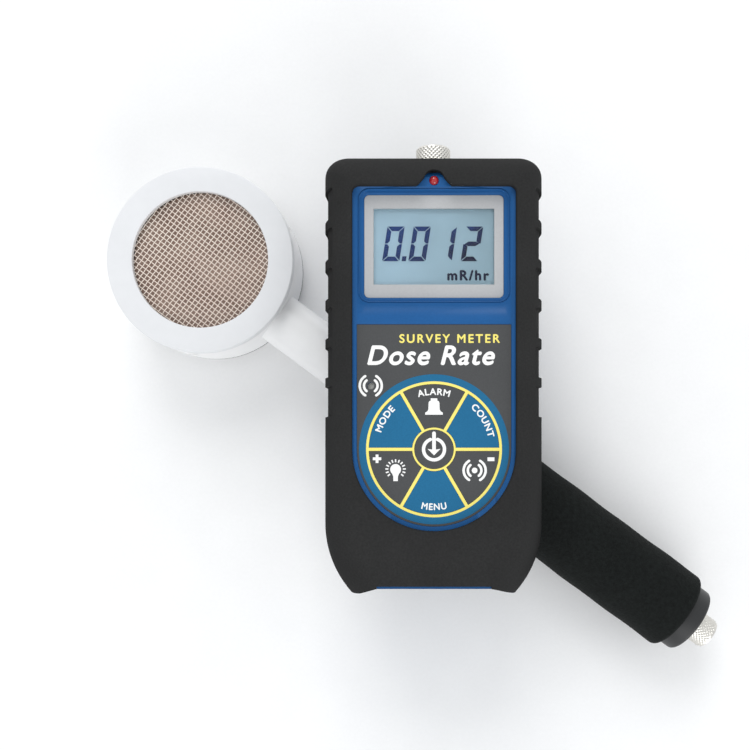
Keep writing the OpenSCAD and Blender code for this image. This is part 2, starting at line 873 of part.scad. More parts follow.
// Screened lead from the board in the head, through the neck, to the handle's socket.
module inner_lead() {
    color("#2b2b2d") at_handle() for (i = [0 : len(lead_route) - 2]) {
        a = lead_route[i];
        step = lead_route[i + 1] - a;
        translate([a[0], 0, a[1]]) {
            if (i > 0) sphere(lead_r + 0.1);
            rotate([0, 90 - atan2(step[1], step[0]), 0]) cylinder(h = norm(step), r = lead_r);
        }
    }
}

at_meter() boot();
at_meter() front_case();
at_meter() rear_case();
at_meter() case_gasket();
at_meter() display_frame();
at_meter() display_lens();
at_meter() lcd_panel();
at_meter() backlight();
at_meter() zebra_strips();
at_meter() main_board();
at_meter() hv_module();
at_meter() board_chips();
at_meter() keypad_overlay();
at_meter() key_power();
at_meter() key_alarm();
at_meter() key_count();
at_meter() key_audio();
at_meter() key_menu();
at_meter() key_light();
at_meter() key_mode();
at_meter() key_domes();
at_meter() led_lamp();
at_meter() sounder();
at_meter() meter_socket_shell();
at_meter() meter_socket_insulator();
at_meter() meter_socket_contact();
at_meter() meter_socket_nut();
at_meter() batteries();
at_meter() battery_contacts();
at_meter() battery_door();
at_meter() case_screws();
at_meter() board_screws();
head_housing();
front_ring();
grille();
tube_cushion();
gm_tube();
mica_window();
anode_contact();
tube_board();
rear_cover();
cover_gasket();
cover_screws();
set_screws();
neck_tube();
grip_foam();
end_cap();
handle_socket_shell();
handle_socket_insulator();
handle_socket_contact();
inner_lead();
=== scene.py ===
import json
from math import asin, atan2, cos, pi, radians, sin, sqrt

import bmesh
import bpy
from mathutils import Matrix, Vector


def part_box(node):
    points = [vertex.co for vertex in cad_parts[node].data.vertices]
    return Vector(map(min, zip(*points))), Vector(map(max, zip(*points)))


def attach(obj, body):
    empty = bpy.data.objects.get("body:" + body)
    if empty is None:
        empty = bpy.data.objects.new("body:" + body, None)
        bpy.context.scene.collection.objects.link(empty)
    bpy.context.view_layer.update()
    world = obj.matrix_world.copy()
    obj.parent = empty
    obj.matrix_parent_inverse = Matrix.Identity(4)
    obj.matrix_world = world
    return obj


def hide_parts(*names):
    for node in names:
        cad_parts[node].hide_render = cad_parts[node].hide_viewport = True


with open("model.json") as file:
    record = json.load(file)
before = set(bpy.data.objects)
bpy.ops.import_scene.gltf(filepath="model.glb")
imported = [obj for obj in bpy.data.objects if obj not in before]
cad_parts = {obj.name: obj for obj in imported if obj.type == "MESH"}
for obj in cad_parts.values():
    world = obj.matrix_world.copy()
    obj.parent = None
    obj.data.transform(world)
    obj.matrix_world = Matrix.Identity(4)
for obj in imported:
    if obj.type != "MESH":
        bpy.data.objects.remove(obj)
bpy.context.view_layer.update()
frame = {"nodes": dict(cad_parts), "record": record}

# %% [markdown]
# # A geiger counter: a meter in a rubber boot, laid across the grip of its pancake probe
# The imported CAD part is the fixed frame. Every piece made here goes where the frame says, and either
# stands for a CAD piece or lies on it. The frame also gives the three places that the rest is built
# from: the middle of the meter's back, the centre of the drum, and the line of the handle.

MM = 0.001

# %% Where the meter, the drum and the handle lie
BOOT_HALF_LENGTH = 72.5
boot_low, boot_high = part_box("boot")
METER = Matrix.Translation(
    ((boot_low.x + boot_high.x) / 2, boot_high.y - BOOT_HALF_LENGTH * MM, boot_low.z)
)
cover_low, cover_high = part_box("rear_cover")
HEAD = Matrix.Translation(
    ((cover_low.x + cover_high.x) / 2, (cover_low.y + cover_high.y) / 2, 0)
)
mounts = {m["name"]: m for m in frame["record"]["mounts"]}
ALONG = Vector(mounts["handle_socket"]["axis"]).normalized()
HANDLE_Z = mounts["handle_socket"]["pos_m"][2]
HANDLE_TURN = atan2(ALONG.y, ALONG.x)
HANDLE = HEAD @ Matrix.Translation((0, 0, HANDLE_Z)) @ Matrix.Rotation(HANDLE_TURN, 4, "Z")
print("meter at", METER.translation, "drum at", HEAD.translation, "handle", HANDLE_TURN)

# %% [markdown]
# ## Camera, floor and light
# The object is looked at from straight above, from about arm's length, so the drum and the meter show
# a little of their sides. A large soft lamp over the top edge, a weaker one below it and a pale world
# give an even light with soft shadows, and a pale floor bounces light back up.

# %% Camera
camera_data = bpy.data.cameras.new("camera")
camera_data.sensor_width = 36
camera_data.lens = 44.45
camera_data.shift_x = -0.06
camera_data.shift_y = 0.08
camera = bpy.data.objects.new("camera", camera_data)
camera.location = METER @ Vector((-4.45 * MM, -20.65 * MM, 0))
camera.location.z = 0.36
bpy.context.scene.collection.objects.link(camera)
bpy.context.scene.camera = camera
print("camera at", camera.location)

# %% World and soft lamps
scene = bpy.context.scene
scene.view_settings.view_transform = "Standard"
world = bpy.data.worlds.new("studio")
scene.world = world
world.use_nodes = True
world.node_tree.nodes["Background"].inputs["Color"].default_value = (0.96, 0.98, 1, 1)
world.node_tree.nodes["Background"].inputs["Strength"].default_value = 0.8


def soft_lamp(name, place, size, power):
    """A square soft box that faces the middle of the object."""
    data = bpy.data.lights.new(name, "AREA")
    data.size = size
    data.energy = power
    lamp = bpy.data.objects.new(name, data)
    lamp.location = place
    lamp.rotation_euler = (-Vector(place)).to_track_quat("-Z", "Y").to_euler()
    scene.collection.objects.link(lamp)


soft_lamp("lamp_top", (-0.25, 1.5, 1.2), 1.0, 14)
soft_lamp("lamp_low", (0.5, -1.4, 0.8), 1.2, 11)

# %% [markdown]
# ## Finishes
# Each finish is a small node tree on the Principled shader. All of them share one idea: a slow noise
# drifts the colour and gloss over centimetres, as moulding and handling do, and a fine noise at the
# scale of the real grain gives a bump. Object coordinates are in metres, so a noise scale of 1000
# makes marks of about a millimetre.


# %% Node helpers
def rgb(red, green, blue):
    """Display colour from 0 to 255, as the linear colour that the shader wants."""
    parts = [c / 255 for c in (red, green, blue)]
    return [c / 12.92 if c < 0.04045 else ((c + 0.055) / 1.055) ** 2.4 for c in parts] + [1]


def feed(tree, node, inputs):
    """Sets a node's inputs to values, or links them to other nodes' sockets."""
    for key, value in inputs.items():
        if isinstance(value, Number):
            value = value.socket
        if isinstance(value, bpy.types.NodeSocket):
            tree.links.new(value, node.inputs[key])
        else:
            node.inputs[key].default_value = value


def add(tree, kind, inputs=None, **settings):
    """One node with its settings and inputs. A shader or math node is named without its family."""
    node = tree.nodes.new(kind if kind.startswith("Geometry") else "ShaderNode" + kind)
    for key, value in settings.items():
        setattr(node, key, value)
    feed(tree, node, inputs or {})
    return node


class Number:
    """A number socket of a tree, for plain arithmetic. Each step becomes a math node."""

    def __init__(self, tree, socket):
        self.tree = tree
        self.socket = socket

    def math(self, operation, other=0.0):
        node = add(self.tree, "Math", {0: self, 1: other}, operation=operation)
        return Number(self.tree, node.outputs[0])

    def __add__(self, other):
        return self.math("ADD", other)

    def __sub__(self, other):
        return self.math("SUBTRACT", other)

    def __mul__(self, other):
        return self.math("MULTIPLY", other)

    def __truediv__(self, other):
        return self.math("DIVIDE", other)


def blank(name):
    """A new material: its tree, its shader and its Object coordinates."""
    mat = bpy.data.materials.new(name)
    mat.use_nodes = True
    tree = mat.node_tree
    return mat, tree, tree.nodes["Principled BSDF"], add(tree, "TexCoord").outputs["Object"]


def coordinates(tree, place):
    """The three coordinates of a place, as numbers."""
    apart = add(tree, "SeparateXYZ", {"Vector": place})
    return [Number(tree, apart.outputs[axis]) for axis in "XYZ"]


def noise(tree, place, scale, detail, rough=0.5):
    """Cloudy values from 0 to 1, with about a scale's number of marks in a metre."""
    inputs = {"Vector": place, "Scale": scale, "Detail": detail, "Roughness": rough}
    return add(tree, "TexNoise", inputs).outputs["Fac"]


def spread(tree, value, low, high, start=0.3, end=0.7):
    """A value stretched between low and high, from the usual span of a noise if not told."""
    inputs = {"Value": value, "From Min": start, "From Max": end, "To Min": low, "To Max": high}
    return add(tree, "MapRange", inputs).outputs["Result"]


def two_tone(tree, value, first, second):
    """A colour between two, by a value from 0 to 1."""
    inputs = {"Factor": value, "A": first, "B": second}
    return add(tree, "Mix", inputs, data_type="RGBA").outputs["Result"]


def shade(tree, colour, grey):
    """A colour darkened by a value from 0 to 1."""
    inputs = {"Factor": 1, "A": colour, "B": grey}
    return add(tree, "Mix", inputs, data_type="RGBA", blend_type="MULTIPLY").outputs["Result"]


def relief(tree, height, depth_mm):
    """A bump of a depth in mm."""
    return add(tree, "Bump", {"Height": height, "Distance": depth_mm * MM}).outputs["Normal"]


# %% The shared finish: colour drift, gloss drift and grain
DRIFT_SCALE, GLOSS_DRIFT = 1000 / 18, 0.06


def finish(name, colour, rough=0.45, grain_mm=0.25, bump_mm=0.01, drift=0.07, fleck=0.05,
           metallic=0.0, coat=0.0, specular=0.5):
    mat, tree, shader, place = blank(name)
    slow = noise(tree, place, DRIFT_SCALE, 3)
    fine = noise(tree, place, 1000 / grain_mm / 2, 3)
    dark = [c * (1 - drift) for c in colour[:3]] + [1]
    light = [min(c * (1 + drift), 1) for c in colour[:3]] + [1]
    base = two_tone(tree, spread(tree, slow, 0, 1), dark, light)
    feed(tree, shader, {
        "Base Color": shade(tree, base, spread(tree, fine, 1 - 2 * fleck, 1)),
        "Roughness": spread(tree, slow, rough - GLOSS_DRIFT, rough + GLOSS_DRIFT),
        "Normal": relief(tree, fine, bump_mm),
        "Metallic": metallic, "Coat Weight": coat, "Specular IOR Level": specular,
    })
    return mat


# %% Rubber, moulded plastic, paint, foam and metals
FINISH = {}


def keep(name, colour, *numbers, **named):
    """Makes a shared finish from a display colour and keeps it under its name."""
    FINISH[name] = finish(name, rgb(*colour), *numbers, **named)


keep("boot_rubber", (49, 49, 49), 0.7, 0.3, 0.03, 0.08, 0.1, specular=0.04)
keep("case_blue", (30, 90, 150), 0.4, 0.35, 0.012, 0.05, 0.04, specular=0.2)
keep("seal_rubber", (24, 24, 25), 0.6, 0.3, 0.02)
keep("bezel_grey", (184, 185, 186), 0.5, 0.3, 0.01, 0.03, 0.03)
keep("light_guide", (236, 241, 240), 0.3, 0.5, 0.005)
keep("contact_rubber", (224, 138, 154), 0.6, 0.3, 0.01)
keep("potting", (28, 30, 34), 0.35, 0.6, 0.02)
keep("spring_steel", (196, 196, 190), 0.28, 0.2, 0.004, metallic=1)
keep("socket_insulator", (240, 238, 230), 0.35, 0.4, 0.005)
keep("contact_gold", (226, 186, 92), 0.22, 0.2, 0.003, metallic=1)
keep("socket_nickel", (232, 229, 222), 0.3, 0.12, 0.004, metallic=1)
keep("screw_steel", (178, 178, 176), 0.3, 0.15, 0.006, metallic=1)
keep("screw_black", (48, 49, 50), 0.4, 0.15, 0.006, metallic=0.6)
# Painted light: the white enamel of the drum's sides and neck is lighter than the ring's copy of the same
# paint.
keep("white_enamel", (248, 248, 248), 0.34, 1.6, 0.03, 0.015, 0.01, coat=0.15)
keep("mesh_steel", (255, 238, 226), 0.36, 0.12, 0.004, 0.06, 0.05, metallic=0.25)
keep("cushion_rubber", (58, 58, 60), 0.7, 0.5, 0.04)
keep("tube_steel", (170, 168, 164), 0.35, 0.15, 0.005, metallic=1)
keep("cap_black", (34, 35, 36), 0.45, 0.3, 0.012)
keep("lead_jacket", (40, 40, 42), 0.5, 0.4, 0.01)
keep("key_grey", (80, 81, 82), 0.5, 0.22, 0.012, 0.03, 0.05, specular=0.15)
keep("key_blue", (36, 108, 150), 0.5, 0.22, 0.012, 0.03, 0.05, specular=0.15)
keep("overlay_grey", (80, 81, 82), 0.5, 0.22, 0.012, 0.03, 0.05, specular=0.15)
keep("ink_white", (250, 250, 248), 0.55, 0.2, 0.004, 0.02, 0.03)
keep("ink_yellow", (252, 236, 120), 0.55, 0.2, 0.004, 0.03, 0.04)
print("finishes:", len(FINISH))


# %% [markdown]
# Some finishes need their own tree: the foam is full of open pores, the board is woven glass under
# green lacquer, the cells have a printed wrap, and the display, its window and the lamp let light in.


# %% Foam with open pores
def foam_finish():
    mat, tree, shader, place = blank("grip_foam")
    pores = add(tree, "TexVoronoi", {"Vector": place, "Scale": 1500})
    crumbs = noise(tree, place, 700, 6, 0.7)
    slow = noise(tree, place, 45, 2)
    black = two_tone(tree, spread(tree, crumbs, 0, 1), rgb(12, 14, 13), rgb(27, 31, 30))
    height = Number(tree, pores.outputs["Distance"]) + crumbs
    feed(tree, shader, {
        "Base Color": shade(tree, black, spread(tree, slow, 0.85, 1)),
        "Normal": relief(tree, height, 0.12),
        "Roughness": 0.85, "Specular IOR Level": 0.15,
    })
    return mat


FINISH["grip_foam"] = foam_finish()


# %% Woven board under green lacquer, and wrapped cells
def board_finish():
    mat, tree, shader, place = blank("circuit_board")
    wave = {"Vector": place, "Scale": 320, "Distortion": 0.4}
    warp, weft = (Number(tree, add(tree, "TexWave", wave, bands_direction=way).outputs["Fac"])
                  for way in "XY")
    weave = warp * weft
    feed(tree, shader, {
        "Base Color": two_tone(tree, weave.socket, rgb(24, 84, 48), rgb(40, 118, 66)),
        "Normal": relief(tree, weave, 0.01),
        "Roughness": 0.35, "Coat Weight": 0.5,
    })
    return mat


def wrap_finish():
    """Copper-coloured foil at one end of each cell and black along the rest."""
    mat, tree, shader, place = blank("cell_wrap")
    cells_low, cells_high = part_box("batteries")
    foil_end = cells_low.y + 0.28 * (cells_high.y - cells_low.y)
    band = coordinates(tree, place)[1].math("GREATER_THAN", foil_end)
    feed(tree, shader, {
        "Base Color": two_tone(tree, band, rgb(196, 138, 66), rgb(34, 33, 34)),
        "Roughness": spread(tree, noise(tree, place, 400, 4), 0.2, 0.42),
        "Coat Weight": 0.4,
    })
    return mat


FINISH["circuit_board"] = board_finish()
FINISH["cell_wrap"] = wrap_finish()


# %% Display glass, window, ink behind glass, lamp and mica
def display_finish():
    """A reflective display: pale blue-grey, with painted light that makes it lighter to the left, and a
    faint scatter.
    """
    mat, tree, shader, place = blank("display_glass")
    low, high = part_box("lcd_panel")
    across = spread(tree, coordinates(tree, place)[0], 0, 1, low.x, high.x)
    cloud = noise(tree, place, 60, 4)
    part = spread(tree, Number(tree, across) + cloud, 0, 1, 0.3, 1.6)
    feed(tree, shader, {
        "Base Color": two_tone(tree, part, rgb(186, 217, 236), rgb(154, 182, 196)),
        "Normal": relief(tree, noise(tree, place, 3000, 2), 0.003),
        "Roughness": spread(tree, cloud, 0.32, 0.5),
    })
    return mat


def window_finish():
    """Clear and nearly without a reflection, so that the figures under it stay crisp."""
    mat, tree, shader, place = blank("window_clear")
    feed(tree, shader, {
        "Base Color": rgb(250, 252, 252),
        "Roughness": spread(tree, noise(tree, place, 90, 5), 0.0, 0.012),
        "Transmission Weight": 1, "IOR": 1.2,
    })
    return mat


def display_ink_finish():
    """Liquid crystal segments with painted light and shade: bright navy at the top left, nearly black at
    the bottom right.
    """
    mat, tree, shader, place = blank("display_ink")
    low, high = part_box("display_lens")
    x, y, _ = coordinates(tree, place)
    across = Number(tree, spread(tree, x, 0, 1, low.x, high.x))
    down = spread(tree, y, 0, 1, high.y, low.y)
    part = spread(tree, across + down + noise(tree, place, 200, 3), 0, 1, 1.0, 1.9)
    feed(tree, shader, {
        "Base Color": two_tone(tree, part, rgb(8, 56, 128), rgb(0, 12, 56)),
        "Roughness": 0.5,
    })
    return mat


def lamp_finish():
    mat, tree, shader, place = blank("lamp_red")
    cloud = spread(tree, noise(tree, place, 500, 3), 0, 1)
    feed(tree, shader, {
        "Base Color": two_tone(tree, cloud, rgb(160, 24, 30), rgb(206, 42, 46)),
        "Roughness": 0.12, "Transmission Weight": 0.15, "Coat Weight": 0.6,
    })
    return mat


def mica_finish():
    """Split mica with its dark inner coat: warm brown, blotched, with bright cleavage marks."""
    mat, tree, shader, place = blank("mica")
    blotch = noise(tree, place, 70, 5, 0.6)
    flakes = add(tree, "TexVoronoi", {"Vector": place, "Scale": 130}, feature="DISTANCE_TO_EDGE")
    feed(tree, shader, {
        "Base Color": two_tone(tree, spread(tree, blotch, 0, 1), rgb(128, 103, 91), rgb(168, 146, 132)),
        "Normal": relief(tree, flakes.outputs["Distance"], 0.01),
        "Roughness": spread(tree, blotch, 0.2, 0.35), "Coat Weight": 0.5,
    })
    return mat


FINISH["display_glass"] = display_finish()
FINISH["window_clear"] = window_finish()
FINISH["display_ink"] = display_ink_finish()
FINISH["lamp_red"] = lamp_finish()
FINISH["mica"] = mica_finish()


# %% Painted shade: the boot's rubber is darker on its sides than on its front
SIDE_SHADE = 0.1


def painted_side_shade(mat, low, high, dark):
    """Paints shade into a finish: darkens it below a height, with a soft change between the two heights."""
    tree = mat.node_tree
    colour = tree.nodes["Principled BSDF"].inputs["Base Color"]
    height = coordinates(tree, add(tree, "TexCoord").outputs["Object"])[2]
    inputs = {"Value": height, "From Min": low, "From Max": high, "To Min": dark}
    part = add(tree, "MapRange", inputs, interpolation_type="SMOOTHSTEP").outputs["Result"]
    tree.links.new(shade(tree, colour.links[0].from_socket, part), colour)


boot_z = METER.translation.z
painted_side_shade(FINISH["boot_rubber"], boot_z + 20 * MM, boot_z + 37.5 * MM, SIDE_SHADE)

# %% [markdown]
# ## Finishes on the CAD pieces
# A CAD piece whose shape is already right keeps its own mesh and only takes a finish. The record says
# which material slot each piece uses, so one loop dresses them all.

# %% Dress every CAD piece from the record
for entry in frame["record"]["subparts"]:
    data = frame["nodes"][entry["node"]].data
    data.materials.clear()
    data.materials.append(FINISH[entry["material_slot"]])

# %% [markdown]
# ## Making a mesh in its place
# All shapes below are written in millimetres in their own small frame: the meter's, the drum's or the
# handle's. One function turns such points into a mesh in metres at the right place, so that each
# object stays at the origin, unturned and unscaled, as the CAD pieces are.


# %% Points and faces to a placed mesh
def solid(name, points, faces, place, material, smooth=35):
    """A mesh object from points in mm, put in place, normals out, sharp past an angle in degrees."""
    mesh = bpy.data.meshes.new(name)
    mesh.from_pydata([place @ (Vector(p) * MM) for p in points], [], faces)
    return settle(name, mesh, material, smooth)


def settle(name, mesh, material, smooth=35):
    """Merges doubles, turns faces outwards, shades smooth with sharp edges, and links the object."""
    made = bmesh.new()
    made.from_mesh(mesh)
    bmesh.ops.remove_doubles(made, verts=made.verts, dist=0.0005 * MM)
    bmesh.ops.dissolve_degenerate(made, edges=made.edges, dist=0.0005 * MM)
    bmesh.ops.recalc_face_normals(made, faces=made.faces)
    made.to_mesh(mesh)
    made.free()
    for face in mesh.polygons:
        face.use_smooth = True
    mesh.set_sharp_from_angle(angle=radians(smooth))
    mesh.materials.clear()
    mesh.materials.append(material)
    thing = bpy.data.objects.new(name, mesh)
    scene.collection.objects.link(thing)
    return thing


def rings(name, loops, place, material, smooth=35, closed=False):
    """Skins equal loops of points one after another, with a cap at each end or joined in a ring."""
    count = len(loops[0])
    points = [p for loop in loops for p in loop]
    faces = []
    last = len(loops) if closed else len(loops) - 1
    for k in range(last):
        low, high = k * count, (k + 1) % len(loops) * count
        for i in range(count):
            j = (i + 1) % count
            faces.append((low + i, low + j, high + j, high + i))
    if not closed:
        faces.append(tuple(range(count)))
        faces.append(tuple(range((len(loops) - 1) * count, len(loops) * count)))
    return solid(name, points, faces, place, material, smooth)


def plain_mesh(thing):
    """A copy of an object's mesh with its modifiers done."""
    bpy.context.view_layer.update()
    ready = thing.evaluated_get(bpy.context.evaluated_depsgraph_get())
    return bpy.data.meshes.new_from_object(ready)


def carve(thing, cutters, operation="DIFFERENCE"):
    """Takes the cutters out of a piece, or keeps what lies in them, and deletes them."""
    for cutter in cutters:
        cut = thing.modifiers.new("cut", "BOOLEAN")
        cut.operation = operation
        cut.solver = "EXACT"
        cut.object = cutter
    result = plain_mesh(thing)
    thing.modifiers.clear()
    for cutter in cutters:
        bpy.data.objects.remove(cutter)
    name, material = thing.name, thing.data.materials[0]
    bpy.data.objects.remove(thing)
    return settle(name, result, material)


def tell(piece, body, slot, *nodes):
    """Puts a piece on the body that it rides on and hides the CAD nodes that it stands for. The slot is not
    used.
    """
    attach(piece, body)
    if nodes:
        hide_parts(*nodes)
    return piece


def arc(x, y, radius, start, end, steps):
    """Points on an arc, angles in degrees."""
    turns = [radians(start + (end - start) * k / steps) for k in range(steps + 1)]
    return [(x + radius * cos(t), y + radius * sin(t)) for t in turns]


# %% [markdown]
# ## The rubber boot
# The boot is one thick moulding with a soft, nearly square shoulder along each side and a longer one
# over its top end. A bevel on a block can't make both, so the skin is worked out: on the front, each
# point's height follows from how far it is out to the side and how far over the top end. The grip
# pockets between the ribs push the same skin in, with rounded rims as in a mould, and the openings
# are then cut with booleans.

# %% The boot's form
# half of the width, then the arc that narrows the lower end
HALF_W, TAPER_Y, TAPER_R, TAPER_X, TAPER_ROUND = 36, -50, 33.8, 2.2, 0.215
# heights of the front, of the side's shoulder and of the top end's shoulder
FRONT_Z, SIDE_Z, TOP_Z = 38, 19, 12
# how far the shoulders reach, where the top one begins, and the corners seen from the front
SIDE_ROUND, TOP_ROUND, CREASE_Y, CORNER_R = 10, 13.2, 58.8, 8
BACK_ROUND, FOOT_END = 6, -78
# the grip pockets along each side
POCKETS, PITCH, RIB, POCKET_DEPTH, POCKET_CORNER, POCKET_RIM = 6, 12.72, 3.0, 0.9, 1.2, 0.14
POCKET_HIGH_Y = 58.6
POCKET_LOW_Y = POCKET_HIGH_Y - (POCKETS * PITCH - RIB)
POCKET_Z0, POCKET_Z1 = 14, 33.4
# the draft: how steep, from what height down, and how far out it begins
DRAFT, DRAFT_Z, DRAFT_X, DRAFT_BLEND = 0.03, 22, 24, 10


def half_width(y):
    """Half of the boot's width, which narrows in an arc towards the lower end."""
    if y > TAPER_Y:
        return HALF_W
    return TAPER_X + sqrt(TAPER_R**2 - (y - TAPER_Y) ** 2)


def side_round(y):
    """How far the soft shoulder reaches in from the side."""
    return SIDE_ROUND + TAPER_ROUND * max(0, TAPER_Y - y)


def draft(z):
    """How much the sides draw in towards the back, so that the boot leaves its mould."""
    return DRAFT * max(0, DRAFT_Z - z)


def step(value, rim):
    """A soft step from 0 to 1, over a rim's width to each side of zero."""
    t = min(max((value + rim) / (2 * rim), 0), 1)
    return t * t * (3 - 2 * t)


def pocket(y, z):
    """How far the grip pockets push the skin in, at a place along the boot's side."""
    index = min(max(int((y - POCKET_LOW_Y) // PITCH), 0), POCKETS - 1)
    half_y, half_z = (PITCH - RIB) / 2, (POCKET_Z1 - POCKET_Z0) / 2
    dy = abs(y - POCKET_LOW_Y - index * PITCH - half_y) - half_y + POCKET_CORNER
    dz = abs(z - POCKET_Z0 - half_z) - half_z + POCKET_CORNER
    outside = sqrt(max(dy, 0) ** 2 + max(dz, 0) ** 2) + min(max(dy, dz), 0) - POCKET_CORNER
    return POCKET_DEPTH * step(-outside, POCKET_RIM)


def side_stations():
    """Places along one side, closer together where a pocket's rim lies."""
    ys = [FOOT_END + k * (POCKET_LOW_Y - 2 - FOOT_END) / 34 for k in range(34)]
    near = [-0.5, -POCKET_RIM, -0.05, 0.05, POCKET_RIM, 0.4, 0.8, 1.2, 1.8]
    for index in range(POCKETS):
        low = POCKET_LOW_Y + index * PITCH
        high = low + PITCH - RIB
        ys += [low + d for d in near] + [low + 3, (low + high) / 2, high - 3]
        ys += [high - d for d in reversed(near)]
    return [y for y in ys if y < CREASE_Y] + [CREASE_Y]


SIDE_YS = side_stations()
OVER_STEPS, CORNER_STEPS, TOP_STEPS = 3, 16, 16


def boot_loop(turn, inset, back=None, push=0):
    """One loop round the boot. On the front, turn goes from 90 where it is flat to 0 at the side.
    Behind that, back gives (height, further inset)."""
    reach, rise = cos(turn), sin(turn)
    more = back[1] if back else 0
    right = []

    def put(x, y, middle_z):
        z = back[0] if back else middle_z + (FRONT_Z - inset - middle_z) * rise
        outer = min(max((x - DRAFT_X) / DRAFT_BLEND, 0), 1)
        right.append([x - (draft(z) * outer if push else 0), y, z])

    for y in SIDE_YS:
        wide = side_round(y)
        put(half_width(y) - wide + (wide - inset) * reach - more, y, SIDE_Z)
        depth = push * pocket(y, right[-1][2])
        if depth:
            lean = Vector((reach / wide, rise / (FRONT_Z - SIDE_Z))).normalized()
            right[-1][0] -= depth * (1 if back else lean.x)
            right[-1][2] -= depth * (0 if back else lean.y)
    edge_x = HALF_W - SIDE_ROUND + (SIDE_ROUND - inset) * reach - more
    edge_y = CREASE_Y + (TOP_ROUND - inset) * reach - more
    radius = max(CORNER_R * reach - more, 0.001)
    for k in range(1, OVER_STEPS + 1):
        put(edge_x, CREASE_Y + (edge_y - radius - CREASE_Y) * k / OVER_STEPS, SIDE_Z)
    for k in range(1, CORNER_STEPS + 1):
        t = pi / 2 * k / CORNER_STEPS
        middle_z = SIDE_Z + (TOP_Z - SIDE_Z) * step(k / CORNER_STEPS - 0.5, 0.5)
        put(edge_x - radius + radius * cos(t), edge_y - radius + radius * sin(t), middle_z)
    top_x = edge_x - radius
    top_z = right[-1][2]
    top = [(top_x * (1 - 2 * k / TOP_STEPS), edge_y, top_z) for k in range(1, TOP_STEPS)]
    return right + top + [(-x, y, z) for x, y, z in reversed(right)]


# %% Skin of the boot
def boot_skin(name, inset=0, push=1):
    """The whole boot form, or the form of its hollow at an inset."""
    degrees = [90, 84, 78, 72, 66, 60, 56, 53, 51.5, 50.5, 50, 49.5, 49, 48.5, 47.5, 46, 44, 41]
    degrees += [37, 32, 27, 22, 17, 12, 7, 3]
    loops = [boot_loop(radians(d), inset, None, push) for d in degrees]
    for z in [17, 16, 15.2, 14.6, 14.14, 14.05, 13.95, 13.86, 13.4, 12.6, 11.5, 9.5, 7.5, BACK_ROUND]:
        loops.append(boot_loop(0, inset, (z, 0), push))
    for degree in [10, 22, 36, 50, 64, 77, 90]:
        t = radians(degree)
        radius = BACK_ROUND - inset
        loops.append(boot_loop(0, inset, (BACK_ROUND - radius * sin(t), radius * (1 - cos(t))), push))
    return rings(name, loops, METER, FINISH["boot_rubber"])


boot = boot_skin("boot_shell")
print("boot skin faces:", len(boot.data.polygons))


# %% Cutters for the boot's openings
def prism(name, outline, z0, z1, place=METER):
    return rings(name, [[(x, y, z) for x, y in outline] for z in (z0, z1)], place, FINISH["boot_rubber"])


OPEN_HALF, OPEN_TOP, OPEN_CORNER, LIP_ROUND, KEYPAD_Y = 25.9, 58.1, 2.2, 0.7, -25.2
TAB_R, TAB_Y = 3.15, 60.3
TAB_FLARE = [(5.7, 0), (5.2, 0.35), (4.5, 1.0), (3.85, 1.75), (3.35, 2.45)]


def face_outline(wider=0):
    """Edge of the opening in the boot's front, anticlockwise from the keypad's right."""
    half, top, corner = OPEN_HALF + wider, OPEN_TOP + wider, OPEN_CORNER + wider
    path = arc(half - corner, top - corner, corner, 0, 90, 8)
    flare = [(x + wider * 0.8, y + top) for x, y in TAB_FLARE]
    path += flare + arc(0, TAB_Y, TAB_R + wider, 12, 168, 20)
    path += [(-x, y) for x, y in reversed(flare)]
    path += arc(corner - half, top - corner, corner, 90, 180, 8)
    path += arc(0, KEYPAD_Y, half, 180, 360, 64)
    return path


def lip_cutter():
    """The front opening, flared at the outer edge so that the lip comes out rounded."""
    loops = [[(x, y, FRONT_Z - 4) for x, y in face_outline()]]
    for degree in (0, 25, 45, 65, 90):
        t = radians(degree)
        z = FRONT_Z - LIP_ROUND + LIP_ROUND * sin(t)
        loops.append([(x, y, z) for x, y in face_outline(LIP_ROUND * (1 - cos(t)))])
    loops.append([(x, y, FRONT_Z + 2) for x, y in face_outline(LIP_ROUND)])
    return rings("lip_cutter", loops, METER, FINISH["boot_rubber"])


def round_rect(width, height, radius, y=0):
    """A rectangle round (0, y) with round corners."""
    path = []
    for sx, sy, start in ((1, 1, 0), (-1, 1, 90), (-1, -1, 180), (1, -1, 270)):
        path += arc(sx * (width / 2 - radius), y + sy * (height / 2 - radius), radius, start, start + 90, 8)
    return path


def box_outline(x0, x1, y0, y1):
    return [(x0, y0), (x1, y0), (x1, y1), (x0, y1)]


WALL, CASE_TOP_Z, SLOT_HALF, SLOT_Y, STRIP_Y = 2.2, 35.2, 18.2, -66.6, -68.4
PAD_Y, FOOT_Y, FOOT_OUT, FOOT_IN = -71.5, -72.6, 26.3, 18.4
PAD_LEAN, FOOT_LEAN = 0.12, 0.06
BACK_WINDOW = {"width": 48, "height": 112, "radius": 6, "y": -3}
# where cutters may end: outside the boot's lower end, its back and its front
PAST_END, PAST_BACK, PAST_FRONT = -76, -1, 41
SOCKET_Z, SOCKET_HOLE_R = 18.75, 6.05


def end_cutter():
    """Squares off the boot's end, with a foot at each side that leans in towards the front."""
    loops = []
    for z in (PAST_BACK, SIDE_Z, 40):
        rise = max(z - SIDE_Z, 0)
        foot_y, pad_y = FOOT_Y + rise * FOOT_LEAN, PAD_Y + rise * PAD_LEAN
        half = [(60, -90), (60, foot_y), (FOOT_OUT, foot_y), (FOOT_IN, pad_y)]
        loops.append([(x, y, z) for x, y in half + [(-x, y) for x, y in reversed(half)]])
    return rings("end_cutter", loops, METER, FINISH["boot_rubber"])


